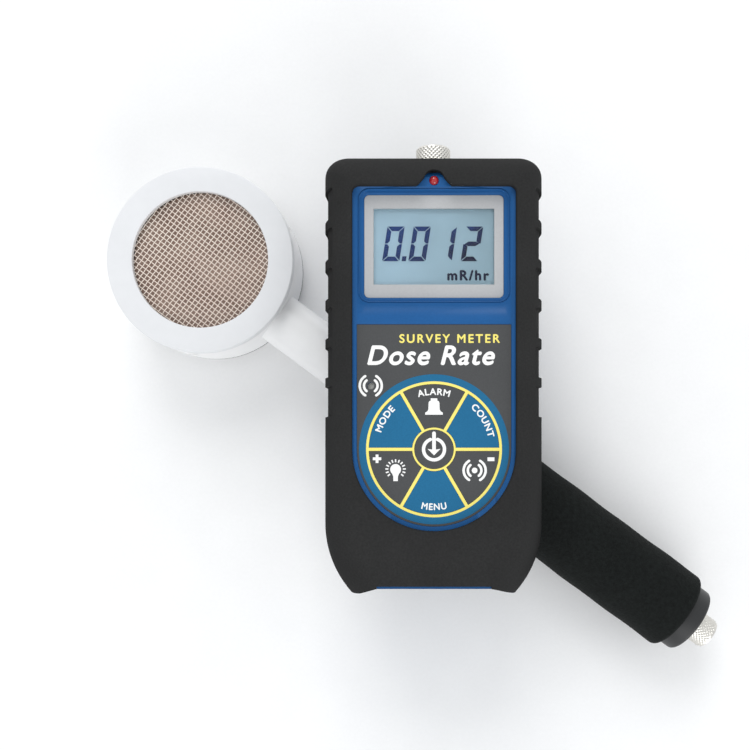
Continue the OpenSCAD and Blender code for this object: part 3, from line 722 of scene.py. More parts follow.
socket_place = METER @ Matrix.Translation((0, 0, SOCKET_Z * MM)) @ Matrix.Rotation(-pi / 2, 4, "X")
cutters = [
    lip_cutter(),
    boot_skin("hollow", WALL, 0),
    prism("back_window", round_rect(**BACK_WINDOW), PAST_BACK, WALL + 1.2),
    end_cutter(),
    prism("slot_cut", box_outline(-SLOT_HALF, SLOT_HALF, PAST_END, SLOT_Y), WALL, CASE_TOP_Z + 0.1),
    prism("strip_cut", box_outline(-SLOT_HALF, SLOT_HALF, PAST_END, STRIP_Y), CASE_TOP_Z - 1, PAST_FRONT),
    prism("socket_cut", arc(0, 0, SOCKET_HOLE_R, 0, 354, 59), 64.5, 75, socket_place),
]
boot = carve(boot, cutters)
print("boot faces after cutting:", len(boot.data.polygons))
tell(boot, "meter", "boot_rubber", "boot")

# %% [markdown]
# ## The blue case inside the boot
# The case is right as it is in CAD, but its corners are fuller than the boot's soft ones. A merged
# copy is trimmed to the boot's own hollow, which keeps the display pocket, the keypad's seat and the
# lamp's hole exactly, and can't show through the rubber.


# %% Trimmed case
def cad_copy(name, node, material):
    """A copy of a CAD piece with its loose triangles merged."""
    return settle(name, frame["nodes"][node].data.copy(), material)


case_top = cad_copy("case_top", "front_case", FINISH["case_blue"])
case_top = carve(case_top, [boot_skin("case_trim", WALL + 0.05, 0)], "INTERSECT")
frame_low, frame_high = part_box("display_frame")
display_y = (METER.inverted() @ ((frame_low + frame_high) / 2)).y / MM
RECESS_FLOOR, RECESS_RIM, GROOVE_Z = 34.0, 36.5, 34.9
RECESS_W, RECESS_H, RECESS_R = 47.0, 35.0, 2.9


def recess_outline(wider, rounder):
    """The display's recess, wider and with rounder corners than at its floor."""
    return round_rect(RECESS_W + wider, RECESS_H + wider, RECESS_R + rounder, display_y)


recess = rings("recess_cut", [
    [(x, y, RECESS_FLOOR) for x, y in recess_outline(0, 0)],
    [(x, y, RECESS_RIM) for x, y in recess_outline(1.2, 0.6)]], METER, FINISH["case_blue"])
rim_line = zip(recess_outline(0.9, 0.45), recess_outline(1.5, 0.75))
groove = rings("rim_groove", [[(x, y, GROOVE_Z), (x, y, RECESS_RIM), (u, v, RECESS_RIM), (u, v, GROOVE_Z)]
                              for (x, y), (u, v) in rim_line], METER, FINISH["case_blue"], 35, True)
case_top = carve(case_top, [recess, groove, end_cutter()])
print("case faces:", len(case_top.data.polygons), "display middle:", round(display_y, 2))
tell(case_top, "meter", "case_blue", "front_case")

# %% [markdown]
# ## Printing on the keypad
# The keypad's pattern is ink on the back of a clear membrane: a blue border, a yellow ring with six
# spokes, and white words and signs. Each print is its own thin piece a few hundredths of a millimetre
# thick, cut from a filled flat curve, and it rides on the key that it is printed on, so it goes down
# with it.

# %% Filled outlines and letters as thin prints
INK_THICK, LAYER_RISE = 0.04, 0.003
KEY_TOP = 35.1


def flat_print(name, outlines, z, material, body, slot):
    """Closed outlines in mm, holes included, filled and given the thickness of ink."""
    curve = bpy.data.curves.new(name, "CURVE")
    curve.dimensions = "2D"
    curve.fill_mode = "BOTH"
    for outline in outlines:
        spline = curve.splines.new("POLY")
        spline.points.add(len(outline) - 1)
        for point, (x, y) in zip(spline.points, outline):
            point.co = (x, y, 0, 1)
        spline.use_cyclic_u = True
    return print_mesh(name, curve, z, material, body, slot)


def letters(name, words, size, z, material, body, slot, bend, weight=0.03, spacing=1.05, lean=0):
    """A word in the built-in letters, set round its own middle and made bolder by its weight."""
    curve = bpy.data.curves.new(name, "FONT")
    curve.body = words
    curve.size = size
    curve.shear = lean
    curve.space_character = spacing
    curve.align_x = "CENTER"
    more = weight * size
    shifts = [(0, 0), (more, 0), (-more, 0), (0, more), (0, -more)]
    return print_mesh(name, curve, z, material, body, slot, bend, shifts)


def print_mesh(name, curve, z, material, body, slot, bend=None, shifts=((0, 0),)):
    """The curve as a mesh, laid once for each shift, bent and lifted to its height on the meter."""
    curve.extrude = INK_THICK / 2
    shape = bpy.data.objects.new(name + "_curve", curve)
    scene.collection.objects.link(shape)
    flat = plain_mesh(shape)
    bpy.data.objects.remove(shape)
    points, faces = [], []
    for layer, (right, up) in enumerate(shifts):
        faces += [[i + len(points) for i in face.vertices] for face in flat.polygons]
        for vertex in flat.vertices:
            x, y = vertex.co.x + right, vertex.co.y + up
            x, y = bend(x, y) if bend else (x, y)
            lift = z + INK_THICK / 2 + vertex.co.z + layer * LAYER_RISE
            points.append(METER @ (Vector((x, y, lift)) * MM))
    bpy.data.meshes.remove(flat)
    made = bpy.data.meshes.new(name)
    made.from_pydata(points, [], faces)
    thing = settle(name, made, material)
    return tell(thing, body, slot)


def move_to(x, y):
    return lambda u, v: (x + u, y + v)


def over_arc(angle, radius, upright=False):
    """Bends a line of letters round the keypad's middle, with its middle at an angle in degrees."""
    def bend(u, v):
        if upright:
            t, r = radians(angle) + u / radius, radius - v
        else:
            t, r = radians(angle) - u / radius, radius + v
        return r * cos(t), KEYPAD_Y + r * sin(t)
    return bend


# %% Blue border, yellow ring, spokes and hub
def circle(radius, x=0, y=KEYPAD_Y, steps=96):
    return arc(x, y, radius, 0, 360 * (steps - 1) / steps, steps - 1)


# radii outwards: the hub, the ring round it, the wedges' outer edge, the ring's and the border's
HUB_R, HUB_RING_R, WEDGE_R, RING_R, BORDER_R, SPOKE_HALF = 6.3, 6.9, 20.75, 21.6, 23.85, 0.5
flat_print("border_print", [circle(BORDER_R), circle(RING_R)], KEY_TOP, FINISH["key_blue"],
           "meter", "overlay_grey")


def spoke_frame():
    """The yellow lines as one outline with the six key openings and the hub's as holes."""
    outlines = [circle(RING_R), circle(HUB_R)]
    for k in range(6):
        middle = 60 * k + 30
        inner = 30 - asin(SPOKE_HALF / HUB_RING_R) * 180 / pi
        outer = 30 - asin(SPOKE_HALF / WEDGE_R) * 180 / pi
        hole = arc(0, KEYPAD_Y, HUB_RING_R, middle - inner, middle + inner, 12)
        outlines.append(hole + arc(0, KEYPAD_Y, WEDGE_R, middle + outer, middle - outer, 24))
    return outlines


flat_print("ring_print", spoke_frame(), KEY_TOP, FINISH["ink_yellow"], "meter", "overlay_grey")

# %% Words on the keys
LABELS = (
    ("ALARM", 90, 17.35, False, "key_alarm", "key_grey"),
    ("COUNT", 30.5, 17.65, False, "key_count", "key_blue"),
    ("MODE", 148.5, 17.65, False, "key_mode", "key_blue"),
    ("MENU", -90, 19.25, True, "key_menu", "key_blue"),
)
for word, angle, radius, upright, key, slot in LABELS:
    letters("label_" + word.lower(), word, 2.9, KEY_TOP, FINISH["ink_white"], key, slot,
            over_arc(angle, radius, upright), 0.028, 1.12)
print("labels:", [label[0] for label in LABELS])


# %% Signs on the keys
def thick_arc(x, y, radius, start, end, width, steps=18):
    """A stroke along an arc with round ends."""
    path = arc(x, y, radius + width / 2, start, end, steps)
    tip = radians(end)
    path += arc(x + radius * cos(tip), y + radius * sin(tip), width / 2, end, end + 180, 6)[1:-1]
    path += arc(x, y, radius - width / 2, end, start, steps)
    tip = radians(start)
    path += arc(x + radius * cos(tip), y + radius * sin(tip), width / 2, start + 180, start + 360, 6)[1:-1]
    return path


def sound_arcs(x, y):
    """Two pairs of arcs, as for a sounding bell."""
    return [thick_arc(x, y, r, side - half, side + half, 0.78)
            for side in (0, 180) for r, half in ((2.15, 52), (3.5, 60))]


def turned(points, angle, x=0, y=0):
    c, s = cos(radians(angle)), sin(radians(angle))
    return [(x + px * c - py * s, y + px * s + py * c) for px, py in points]


BELL_Y = KEYPAD_Y + 13.6
BELL = [(1.05, 2.6), (1.05, 1.85), (1.5, 1.7), (1.72, 1.2), (1.8, -0.9), (2.1, -1.5), (2.8, -1.95),
        (2.8, -2.6)]
bell = [(x, BELL_Y + y) for x, y in BELL]
bell += [(-x, y) for x, y in reversed(bell)]

BULB_X, BULB_Y, BULB_R, RAYS, RAY_HALF = -12.2, KEYPAD_Y - 6.4, 1.72, 13, 0.22
BULB_NECK = [(-0.74, -2.2), (-0.7, -3.7), (0.7, -3.7), (0.74, -2.2)]
bulb = arc(BULB_X, BULB_Y, BULB_R, -50, 230, 28)
bulb += [(BULB_X + x, BULB_Y + y) for x, y in BULB_NECK]
ray = box_outline(2.3, 3.25, -RAY_HALF, RAY_HALF)
rays = [turned(ray, -40 + 260 * k / (RAYS - 1), BULB_X, BULB_Y) for k in range(RAYS)]

AUDIO_X, AUDIO_Y, AUDIO_R = 12.9, KEYPAD_Y - 6.7, 0.9
audio = [circle(AUDIO_R, AUDIO_X, AUDIO_Y, 24)] + sound_arcs(AUDIO_X, AUDIO_Y)

STROKE, ARM = 0.45, 1.35
plus = [(STROKE, ARM), (-STROKE, ARM), (-STROKE, STROKE), (-ARM, STROKE), (-ARM, -STROKE),
        (-STROKE, -STROKE)]
plus += [(-x, -y) for x, y in plus]
minus = box_outline(17.0, 19.2, KEYPAD_Y - 3.75, KEYPAD_Y - 2.55)

SHAFT, SHAFT_TOP = 0.58, 5.1
arrow = [(-SHAFT, SHAFT_TOP)] + arc(0, SHAFT_TOP, SHAFT, 150, 30, 6)
arrow += [(SHAFT, SHAFT_TOP), (SHAFT, -0.1), (2.05, 0.15), (0, -1.9), (-2.05, 0.15), (-SHAFT, -0.1)]
power = [turned(arrow, 0, 0, KEYPAD_Y), thick_arc(0, KEYPAD_Y, 3.33, 110, 430, 1.06, 48)]

SIGNS = (
    ("sign_bell", [bell], "key_alarm"),
    ("sign_light", [bulb] + rays, "key_light"),
    ("sign_audio", audio, "key_audio"),
    ("sign_plus", [turned(plus, 0, -18.1, KEYPAD_Y - 3.0)], "key_light"),
    ("sign_minus", [minus], "key_audio"),
    ("sign_power", power, "key_power"),
)
white = FINISH["ink_white"]
for name, outlines, key in SIGNS:
    flat_print(name, outlines, KEY_TOP, white, key, "key_grey")

# %% Words and the sounder's sign on the overlay
SOUND_X, SOUND_Y = -20.1, -5.0
flat_print("sign_sounder", sound_arcs(SOUND_X, SOUND_Y), KEY_TOP, white, "meter", "overlay_grey")
letters("title_small", "SURVEY METER", 3.8, KEY_TOP, FINISH["ink_yellow"], "meter", "overlay_grey",
        move_to(4.9, 8.7), 0.026, 1.3)
letters("title_large", "Dose Rate", 8.5, KEY_TOP, white, "meter", "overlay_grey",
        move_to(-1.4, 1.8), 0.026, 1.12, 0.25)

# %% [markdown]
# ## The reading
# The display's figures are seven-segment ones, leant over by nine degrees. Each figure is a list of
# the segments that are on, and one function draws a segment between the corners of its box, with
# mitred ends and a hairline gap. The reading lies just over the display and under its window.

# %% Seven segments
FIGURE_W, FIGURE_H, SEGMENT, GAP, LEAN = 5.5, 11.1, 1.45, 0.12, 0.157
FIGURE_X, FIGURE_Y, FIGURE_STEP = -16.6, 35.15, 8.4
READING_Z = 31.95
LIT = {"0": "abcdef", "1": "bc", "2": "abged"}


def segment(letter):
    """One segment in an upright box of the figure's size."""
    w, h, t, g = FIGURE_W, FIGURE_H, SEGMENT, GAP
    mid = h / 2
    upper = [(0, h - g * 1.5), (0, mid + g), (t / 2, mid + g), (t, mid + t / 2 + g), (t, h - t - g * 1.5)]
    across = [(g * 1.5, h), (t + g * 1.5, h - t), (w - t - g * 1.5, h - t), (w - g * 1.5, h)]
    middle = [(g + t / 4, mid), (t + g, mid + t / 2), (w - t - g, mid + t / 2), (w - t / 4 - g, mid),
              (w - t - g, mid - t / 2), (t + g, mid - t / 2)]
    shapes = {
        "a": across, "g": middle, "d": [(x, h - y) for x, y in across],
        "f": upper, "b": [(w - x, y) for x, y in upper],
        "e": [(x, h - y) for x, y in upper], "c": [(w - x, h - y) for x, y in upper],
    }
    return shapes[letter]


def figure(character, index):
    left = FIGURE_X + index * FIGURE_STEP
    return [[(left + x + y * LEAN, FIGURE_Y + y) for x, y in segment(s)] for s in LIT[character]]


reading = [shape for index, c in enumerate("0012") for shape in figure(c, index)]
point_x = FIGURE_X + FIGURE_W + 0.75
reading.append([(point_x + x + y * LEAN, FIGURE_Y + y) for x, y in box_outline(0, 1.35, 0, 1.55)])
flat_print("reading", reading, READING_Z, FINISH["display_ink"], "meter", "display_glass")
letters("unit", "mR/hr", 4.4, READING_Z, FINISH["display_ink"], "meter", "display_glass",
        move_to(10.9, 29.1), 0.042, 1.24)
print("segments lit:", len(reading))

# %% [markdown]
# ## The drum's turned parts
# The front ring and the end cap are turned on a lathe, so each is a profile spun about its own axis.
# Every real edge is broken with a small chamfer or round that catches the light.


# %% Spun profiles
def spin(name, profile, place, material, steps=160, axis="Z"):
    """A closed profile of (radius, along) points in mm, spun about the place's axis."""
    loops = []
    for k in range(steps):
        t = 2 * pi * k / steps
        if axis == "Z":
            loops.append([(r * cos(t), r * sin(t), along) for r, along in profile])
        else:
            loops.append([(along, r * cos(t), r * sin(t)) for r, along in profile])
    return rings(name, loops, place, material, 30, True)


HEAD_R, RING_Z0, HEAD_Z, WINDOW_R, LIP_Z, SEAT_R = 33.25, 26.03, 30, 24.25, 28, 25.8
BEVEL, OUTER_ROUND, INNER_ROUND = 0.25, 0.45, 0.3
ring_profile = [(SEAT_R, RING_Z0), (HEAD_R - BEVEL, RING_Z0), (HEAD_R, RING_Z0 + BEVEL)]
ring_profile += arc(HEAD_R - OUTER_ROUND, HEAD_Z - OUTER_ROUND, OUTER_ROUND, 0, 90, 5)
ring_profile += arc(WINDOW_R + INNER_ROUND, HEAD_Z - INNER_ROUND, INNER_ROUND, 90, 180, 5)
ring_profile += [(WINDOW_R, LIP_Z), (SEAT_R, LIP_Z)]
# Painted shade: the ring takes a darker copy of the drum's white enamel, and the drum's sides and neck the
# lighter one, as shaded and lit copies of one paint.
shaded_ring_paint = finish("ring_enamel", rgb(228, 229, 231), 0.34, 1.6, 0.03, 0.015, 0.01, coat=0.15)
front_ring = spin("face_ring", ring_profile, HEAD, shaded_ring_paint, 192)
tell(front_ring, "probe", "white_enamel", "front_ring")
print("ring profile points:", len(ring_profile), "faces:", len(front_ring.data.polygons))

# %% [markdown]
# ## The woven guard
# The window is covered by a plain weave of steel wires, sixteen to the inch. It repeats by rule, so
# Geometry Nodes make it: a row of straight wires, each as long as the round lets it be, is bent over
# and under by a wave that changes sign from one wire to the next, and given its thickness. A second
# row lies across it with the opposite wave.


# %% Helpers for Geometry Nodes
def node_tree(name, inputs):
    """An empty tree that takes and gives geometry, with inputs as (name, kind, default)."""
    tree = bpy.data.node_groups.new(name, "GeometryNodeTree")
    tree.interface.new_socket("Geometry", in_out="INPUT", socket_type="NodeSocketGeometry")
    tree.interface.new_socket("Geometry", in_out="OUTPUT", socket_type="NodeSocketGeometry")
    for label, kind, default in inputs:
        socket = tree.interface.new_socket(label, in_out="INPUT", socket_type="NodeSocket" + kind)
        if default is not None:
            socket.default_value = default
    return tree, tree.nodes.new("NodeGroupInput"), tree.nodes.new("NodeGroupOutput")


def vector(tree, x=0, y=0, z=0):
    return add(tree, "CombineXYZ", {"X": x, "Y": y, "Z": z}).outputs[0]


def position(tree):
    """The coordinates of each point that a node works on."""
    return coordinates(tree, add(tree, "GeometryNodeInputPosition").outputs[0])


def close_tree(tree, end, geometry, material):
    """Ends a tree: its copies are made real, take a finish and go out."""
    real = add(tree, "GeometryNodeRealizeInstances", {0: geometry})
    coat = add(tree, "GeometryNodeSetMaterial", {"Geometry": real.outputs[0], "Material": material})
    tree.links.new(coat.outputs[0], end.inputs[0])
    return tree


def grow(name, tree, values, place, material, start=None, smooth=35):
    """Runs a tree on a start mesh, sets its inputs by their identifiers, and keeps a plain mesh."""
    base = start or bpy.data.meshes.new(name + "_start")
    thing = bpy.data.objects.new(name + "_tree", base)
    scene.collection.objects.link(thing)
    made = thing.modifiers.new("nodes", "NODES")
    made.node_group = tree
    inputs = {**values, "Material": material}
    for socket in tree.interface.items_tree:
        if socket.in_out == "INPUT" and socket.name in inputs:
            made[socket.identifier] = inputs[socket.name]
    mesh = plain_mesh(thing)
    thing.modifiers.clear()
    bpy.data.objects.remove(thing)
    mesh.transform(place @ Matrix.Scale(MM, 4))
    return settle(name, mesh, material, smooth)


# %% The weave's tree
def weave_tree():
    tree, start, end = node_tree("woven_guard", [
        ("Radius", "Float", 25.4), ("Pitch", "Float", 1.5875), ("Wire radius", "Float", 0.2),
        ("Wave height", "Float", 0.21), ("Wires", "Int", 31), ("Points", "Int", 129),
        ("Material", "Material", None),
    ])
    size = start.outputs
    radius, pitch, wires = (Number(tree, size[key]) for key in ("Radius", "Pitch", "Wires"))
    x, y, _ = position(tree)
    row = add(tree, "GeometryNodeMeshLine", {
        "Count": wires, "Start Location": vector(tree, pitch * ((wires - 1) / 2) * -1),
        "Offset": vector(tree, pitch)})
    wire = add(tree, "GeometryNodeCurvePrimitiveLine", {"Start": (0, -1, 0), "End": (0, 1, 0)})
    fine = add(tree, "GeometryNodeResampleCurve", {"Curve": wire.outputs[0], "Count": size["Points"]})
    half_chord = (radius * radius - x * x).math("SQRT")
    copies = add(tree, "GeometryNodeInstanceOnPoints", {
        "Points": row.outputs[0], "Instance": fine.outputs[0], "Scale": vector(tree, 1, half_chord, 1)})
    straight = add(tree, "GeometryNodeRealizeInstances", {0: copies.outputs[0]})
    wave = (x / pitch * pi).math("COSINE") * (y / pitch * pi).math("COSINE") * size["Wave height"]
    ring = add(tree, "GeometryNodeCurvePrimitiveCircle", {"Resolution": 6, "Radius": size["Wire radius"]})
    both = add(tree, "GeometryNodeJoinGeometry")
    for turn, way in ((0, 1), (pi / 2, -1)):
        bent = add(tree, "GeometryNodeSetPosition", {
            "Geometry": straight.outputs[0], "Offset": vector(tree, z=wave * way)})
        tube = add(tree, "GeometryNodeCurveToMesh", {
            "Curve": bent.outputs[0], "Profile Curve": ring.outputs[0], "Fill Caps": True})
        across = add(tree, "GeometryNodeTransform", {
            "Geometry": tube.outputs[0], "Rotation": (0, 0, turn)})
        tree.links.new(across.outputs[0], both.inputs[0])
    return close_tree(tree, end, both.outputs[0], size["Material"])


GUARD_Z = 27.52
guard_place = HEAD @ Matrix.Translation((0, 0, GUARD_Z * MM)) @ Matrix.Rotation(HANDLE_TURN, 4, "Z")
guard = grow("woven_guard", weave_tree(), {"Wire radius": 0.155, "Wave height": 0.165},
             guard_place, FINISH["mesh_steel"], None, 60)
print("guard faces:", len(guard.data.polygons))
tell(guard, "probe", "mesh_steel", "grille")

# %% [markdown]
# ## The neck and its weld
# The neck is a plain tube, joined to the drum by a smooth fillet that runs along the curve where the
# two cylinders meet. The fillet is its own ring of sections: at each angle round the tube, a small
# hollow arc goes from the tube's wall to the drum's.


# %% Neck tube with its fillet
NECK_R, NECK_BORE, GRIP_START, GRIP_END = 9.5, 7.6, 76, 216
FILLET, FILLET_STEPS, FILLET_ROOT = 0.4, 6, 0.3


def drum_reach(side):
    """How far along the handle the drum's wall is, at a distance to one side of its line."""
    return sqrt(HEAD_R**2 - side**2)


def fillet_loop(t):
    """Section of the fillet at an angle round the tube, from the tube's wall to the drum's."""
    points = []
    for k in range(FILLET_STEPS + 1):
        turn = pi / 2 * k / FILLET_STEPS
        r = NECK_R + FILLET * (1 - cos(turn))
        out = FILLET * (1 - sin(turn)) - 0.02 * k / FILLET_STEPS
        points.append((drum_reach(r * cos(t)) + out, r * cos(t), r * sin(t)))
    inner = NECK_R - FILLET_ROOT
    points.append((drum_reach(inner * cos(t)) - FILLET_ROOT, inner * cos(t), inner * sin(t)))
    return points


AROUND = 96
fillet_loops = [fillet_loop(2 * pi * k / AROUND) for k in range(AROUND)]
fillet = rings("neck_fillet", fillet_loops, HANDLE, FINISH["white_enamel"], 40, True)
tell(fillet, "probe", "white_enamel")
print("fillet starts at, mm:", round(drum_reach(0), 2), "and ends at:", round(drum_reach(NECK_R), 2))

# %% [markdown]
# ## The foam grip
# A sleeve of closed-cell foam is pushed over the neck. Its ends are cut square and round off a
# little, its surface swells and sinks by a tenth of a millimetre or two, and its pores are in the
# finish.

# %% Foam sleeve
FOAM_R, FOAM_FACE_R, FOAM_BORE = 15.1, 12.7, NECK_R + 0.02


def foam_swell(along, t):
    """How far the surface stands out, by the place along the grip and the angle round it."""
    return 0.09 * sin(along * 0.31 + 2 * cos(t)) + 0.07 * sin(along * 0.13 + 3 * t)


FOAM_ROUND, FOAM_STEPS, FOAM_GAP = 1.6, 70, 0.1
foam_near, foam_far = GRIP_START + FOAM_ROUND, GRIP_END - FOAM_GAP - FOAM_ROUND
foam_profile = [(FOAM_BORE, GRIP_START), (FOAM_FACE_R, GRIP_START)]
foam_profile += arc(FOAM_R - FOAM_ROUND, foam_near, FOAM_ROUND, -90, 0, 6)
for k in range(1, FOAM_STEPS):
    foam_profile.append((FOAM_R, foam_near + (foam_far - foam_near) * k / FOAM_STEPS))
foam_profile += arc(FOAM_R - FOAM_ROUND, foam_far, FOAM_ROUND, 0, 90, 6)
foam_profile += [(FOAM_FACE_R, GRIP_END - FOAM_GAP), (FOAM_BORE, GRIP_END - FOAM_GAP)]
foam_loops = []
for k in range(AROUND):
    t = 2 * pi * k / AROUND
    loop = []
    for r, along in foam_profile:
        wide = r + (foam_swell(along, t) if r > FOAM_R - 1 else 0)
        loop.append((along, wide * cos(t), wide * sin(t)))
    foam_loops.append(loop)
foam = rings("foam_sleeve", foam_loops, HANDLE, FINISH["grip_foam"], 50, True)
tell(foam, "probe", "grip_foam", "grip_foam")
print("foam faces:", len(foam.data.polygons))

# %% [markdown]
# ## End cap
# The cap that holds the handle's socket is turned too, with a rounded outer edge.

# %% Turned end cap
CAP_R, CAP_END, CAP_PLUG, SOCKET_BODY = 12.5, 222, 10, 4.92
CAP_ROUND, CAP_BEVEL, PLUG_END = 1.2, 0.3, GRIP_END - CAP_PLUG
cap_profile = [(SOCKET_BODY, PLUG_END), (NECK_BORE, PLUG_END), (NECK_BORE, GRIP_END)]
cap_profile += [(CAP_R - CAP_BEVEL, GRIP_END), (CAP_R, GRIP_END + CAP_BEVEL)]
cap_profile += arc(CAP_R - CAP_ROUND, CAP_END - CAP_ROUND, CAP_ROUND, 0, 90, 6)
cap_profile += [(SOCKET_BODY, CAP_END)]
cap = spin("turned_cap", cap_profile, HANDLE, FINISH["cap_black"], AROUND, "X")
tell(cap, "probe", "cap_black", "end_cap")
print("cap faces:", len(cap.data.polygons))

# %% [markdown]
# ## Knurled socket rings
# Each socket's ring has a diamond knurl for the fingers. It repeats round the ring and along it, so a
# Geometry Nodes tree rolls a fine grid into a tube and raises it where two sets of slanting ridges
# cross. The tree also draws the two ends in, so the knurl fades out at the chamfers.


# %% The knurl's tree
CHAMFER, CHAMFER_SLOPE = 0.25, 9


def knurl_tree():
    tree, start, end = node_tree("knurl", [
        ("Radius", "Float", 5.5), ("Height", "Float", 0.34), ("Length", "Float", 4.0),
        ("Ridges", "Float", 26.0), ("Twist", "Float", 8.5), ("Material", "Material", None),
    ])
    size = start.outputs
    radius, height, length, ridges, twist = (
        Number(tree, size[key]) for key in ("Radius", "Height", "Length", "Ridges", "Twist"))
    grid = add(tree, "GeometryNodeMeshGrid", {
        "Size X": 1.0, "Size Y": 1.0, "Vertices X": 273, "Vertices Y": 33})
    around, along, _ = position(tree)
    left, right = ((around * ridges + along * twist * way).math("PINGPONG", 0.5) * 2
                   for way in (0.5, -0.5))
    from_end = along.math("ABSOLUTE") * -1 + 0.5
    fade = (from_end * CHAMFER_SLOPE).math("MINIMUM", 1)
    wall = radius + left * right * fade * height - (fade * -1 + 1) * CHAMFER
    turn = around * (2 * pi)
    rolled = vector(tree, wall * turn.math("COSINE"), wall * turn.math("SINE"), along * length)
    placed = add(tree, "GeometryNodeSetPosition", {"Geometry": grid.outputs[0], "Position": rolled})
    joined = add(tree, "GeometryNodeMergeByDistance", {
        "Geometry": placed.outputs[0], "Distance": 0.001})
    return close_tree(tree, end, joined.outputs[0], size["Material"])


# %% A socket: knurled sleeve, plain lips and bore
knurl = knurl_tree()
KNURL_STEP, SOCKET_BORE, SOCKET_INNER, SOCKET_SMALL = 0.66, 4.1, 4.9, 3.4
METER_RING = (69.9, 75.1)
HANDLE_RING = (222.02, 230.5)


def close_ends(thing, place, ends, bore):
    """Adds the two flat rims and the bore to an open sleeve, which makes it a closed ring."""
    made = bmesh.new()
    made.from_mesh(thing.data)
    back = place.inverted()
    rims = [edge for edge in made.edges if edge.is_boundary]
    lips = []
    for z in ends:
        loop = [e for e in rims if abs((back @ e.verts[0].co).z / MM - z) < 0.1]
        grown = bmesh.ops.extrude_edge_only(made, edges=loop)["geom"]
        corners = [v for v in grown if isinstance(v, bmesh.types.BMVert)]
        for v in corners:
            spot = back @ v.co
            spot.xy = spot.xy.normalized() * bore * MM
            v.co = place @ spot
        lips.append([e for e in grown if isinstance(e, bmesh.types.BMEdge) and e.is_boundary])
    bmesh.ops.bridge_loops(made, edges=lips[0] + lips[1])
    made.to_mesh(thing.data)
    made.free()
    mesh, name = thing.data, thing.name
    bpy.data.objects.remove(thing)
    mesh.name = name + "_ring"
    return settle(name, mesh, FINISH["socket_nickel"], 28)


def socket_ring(name, place, z0, z1, body):
    """A ring with a knurled band, from z0 to z1 along its place's own Z."""
    middle = place @ Matrix.Translation((0, 0, (z0 + z1) / 2 * MM))
    half = (z1 - z0) / 2
    sleeve = grow(name, knurl, {"Length": 2 * half, "Twist": 2 * half / KNURL_STEP}, middle,
                  FINISH["socket_nickel"])
    ring = close_ends(sleeve, middle, (-half, half), SOCKET_BORE)
    return tell(ring, body, "socket_nickel")


handle_place = HANDLE @ Matrix.Rotation(pi / 2, 4, "Y")
meter_ring = socket_ring("meter_socket_ring", socket_place, *METER_RING, "meter")
handle_ring = socket_ring("handle_socket_ring", handle_place, *HANDLE_RING, "probe")
print("knurled ring faces:", len(meter_ring.data.polygons), len(handle_ring.data.polygons))


# %% The sockets' inner bodies
def socket_body(name, place, z0, z1, bore_from, body, node):
    """The turned barrel behind the ring, with its stepped bore."""
    bore = SOCKET_BORE - 0.02
    profile = [(SOCKET_INNER, z0), (SOCKET_INNER, z1), (bore, z1), (bore, bore_from)]
    profile += [(SOCKET_SMALL, bore_from), (SOCKET_SMALL, z0)]
    barrel = spin(name, profile, place, FINISH["socket_nickel"], 72)
    tell(barrel, body, "socket_nickel", node)
    print(name, "length, mm:", round(z1 - z0, 2))


socket_body("meter_socket_barrel", socket_place, 62.6, 74.9, 71.4, "meter", "meter_socket_shell")
socket_body("handle_socket_barrel", handle_place, 206, 230.3, 224.5, "probe", "handle_socket_shell")

# %% [markdown]
# ## Screws
# The rear cover and the back of the case are held by cross-head screws. One head is built once, with
# its cross pressed in, and a Geometry Nodes tree sets a copy on each of the points where the frame has
# a screw.


# %% Places of separate solids in a CAD piece
def islands(node):
    """Middle of the underside of each separate solid of a CAD piece, in mm."""
    made = bmesh.new()
    made.from_mesh(frame["nodes"][node].data)
    bmesh.ops.remove_doubles(made, verts=made.verts, dist=0.001 * MM)
    seen, found = set(), []
    for start in made.verts:
        if start.index in seen:
            continue
        stack, group = [start], []
        seen.add(start.index)
        while stack:
            vertex = stack.pop()
            group.append(vertex.co.copy())
            for edge in vertex.link_edges:
                other = edge.other_vert(vertex)
                if other.index not in seen:
                    seen.add(other.index)
                    stack.append(other)
        low = Vector(min(c[a] for c in group) for a in range(3))
        high = Vector(max(c[a] for c in group) for a in range(3))
        found.append(((low.x + high.x) / 2 / MM, (low.y + high.y) / 2 / MM, low.z / MM))
    made.free()
    return found


def copies_tree():
    """Sets one shape on every point of the start mesh."""
    tree, start, end = node_tree("copies_on_points", [
        ("Shape", "Object", None), ("Turn", "Float", 0.0), ("Material", "Material", None)])
    given = start.outputs
    info = add(tree, "GeometryNodeObjectInfo", {"Object": given["Shape"]})
    copies = add(tree, "GeometryNodeInstanceOnPoints", {
        "Points": given["Geometry"], "Instance": info.outputs["Geometry"],
        "Rotation": vector(tree, z=given["Turn"])})
    return close_tree(tree, end, copies.outputs[0], given["Material"])


copies = copies_tree()


def set_copies(name, shape, points, material, turn=0.4):
    """Copies of a shape at points in mm in the frame's own axes, as one plain mesh."""
    base = bpy.data.meshes.new(name + "_points")
    base.from_pydata(points, [], [])
    thing = grow(name, copies, {"Shape": shape, "Turn": turn}, Matrix.Identity(4), material, base, 30)
    bpy.data.objects.remove(shape)
    return thing


# %% One screw head, facing down
IN_MM = Matrix.Scale(1 / MM, 4)


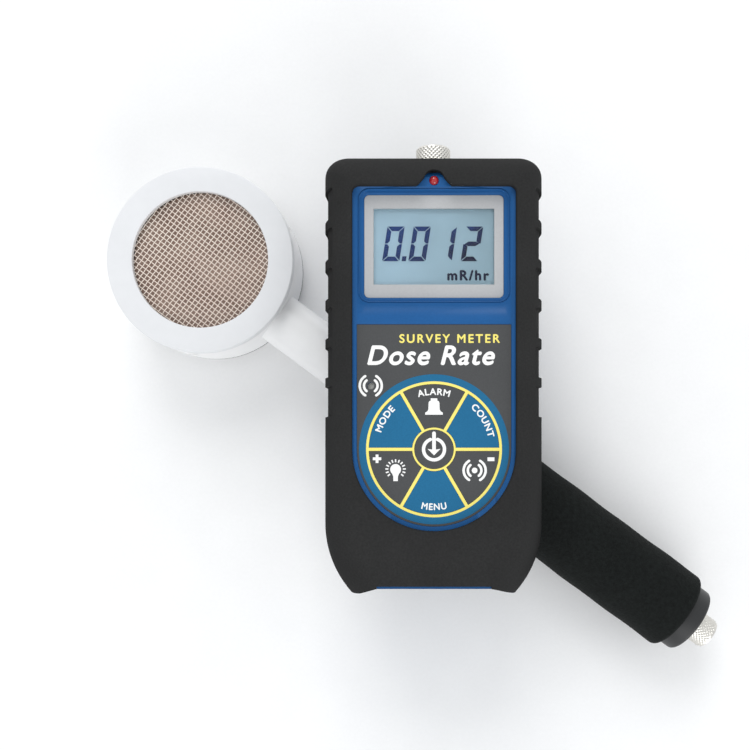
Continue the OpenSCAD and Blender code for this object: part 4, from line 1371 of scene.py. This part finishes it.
def screw_head(name, radius, thick, taper, recess=0.5):
    """A head with a cross recess. Its face is at zero and it goes up from there."""
    axis = 0.001
    rim = [(radius * 0.5, 0), (radius - 0.25, 0), (radius, 0.2), (taper, thick)]
    rim += [(axis, thick), (axis, 0)]
    head = spin(name, rim, IN_MM, FINISH["screw_steel"], 48)
    arm, half = radius * 0.62, 0.3
    cross = []
    for x, y in ((arm, half), (half, arm)):
        cross.append(prism(name + "_cut", box_outline(-x, x, -y, y), -1, recess, IN_MM))
    return carve(head, cross)


# %% Screws in the rear cover and in the case
SCREWS = (
    ("cover", "cover_screws", "probe", (2.2, 1.4, 1.0)),
    ("case", "case_screws", "meter", (2.8, 2.0, 2.8, 1.0)),
)
for name, node, body, sizes in SCREWS:
    heads = islands(node)
    shape = screw_head(name + "_head", *sizes)
    screws = set_copies(name + "_screw_heads", shape, heads, FINISH["screw_steel"])
    tell(screws, body, "screw_steel", node)
    print(name, "screws:", len(heads))

# %% [markdown]
# ## Grip lines on the battery door
# The door is pushed by the thumb, so it has a group of raised lines near its free end. They repeat
# along a row, so the same tree sets them.

# %% Raised lines
door_low, door_high = (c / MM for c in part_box("battery_door"))
LINE_COUNT, LINE_STEP, LINE_HALF, LINE_RISE = 7, 1.6, 8, 0.35
line = rings("grip_line", [[(x, y, z) for y, z in ((-0.45, 0.2), (-0.25, -LINE_RISE),
             (0.25, -LINE_RISE), (0.45, 0.2))] for x in (-LINE_HALF, LINE_HALF)],
             IN_MM, FINISH["case_blue"])
door_x, door_y = (door_low.x + door_high.x) / 2, door_low.y + 9
line_points = [(door_x, door_y + k * LINE_STEP, door_low.z + 0.02) for k in range(LINE_COUNT)]
lines = set_copies("door_grip_lines", line, line_points, FINISH["case_blue"], 0)
tell(lines, "battery_door", "case_blue")

# %% The floor
bpy.ops.mesh.primitive_plane_add(size=6, location=(0, 0, -0.0002))
floor = bpy.context.object
floor.name = "floor"
floor.data.materials.append(finish("floor_paper", rgb(246, 246, 246), 0.7, 0.6, 0.01, 0.01, 0.01))
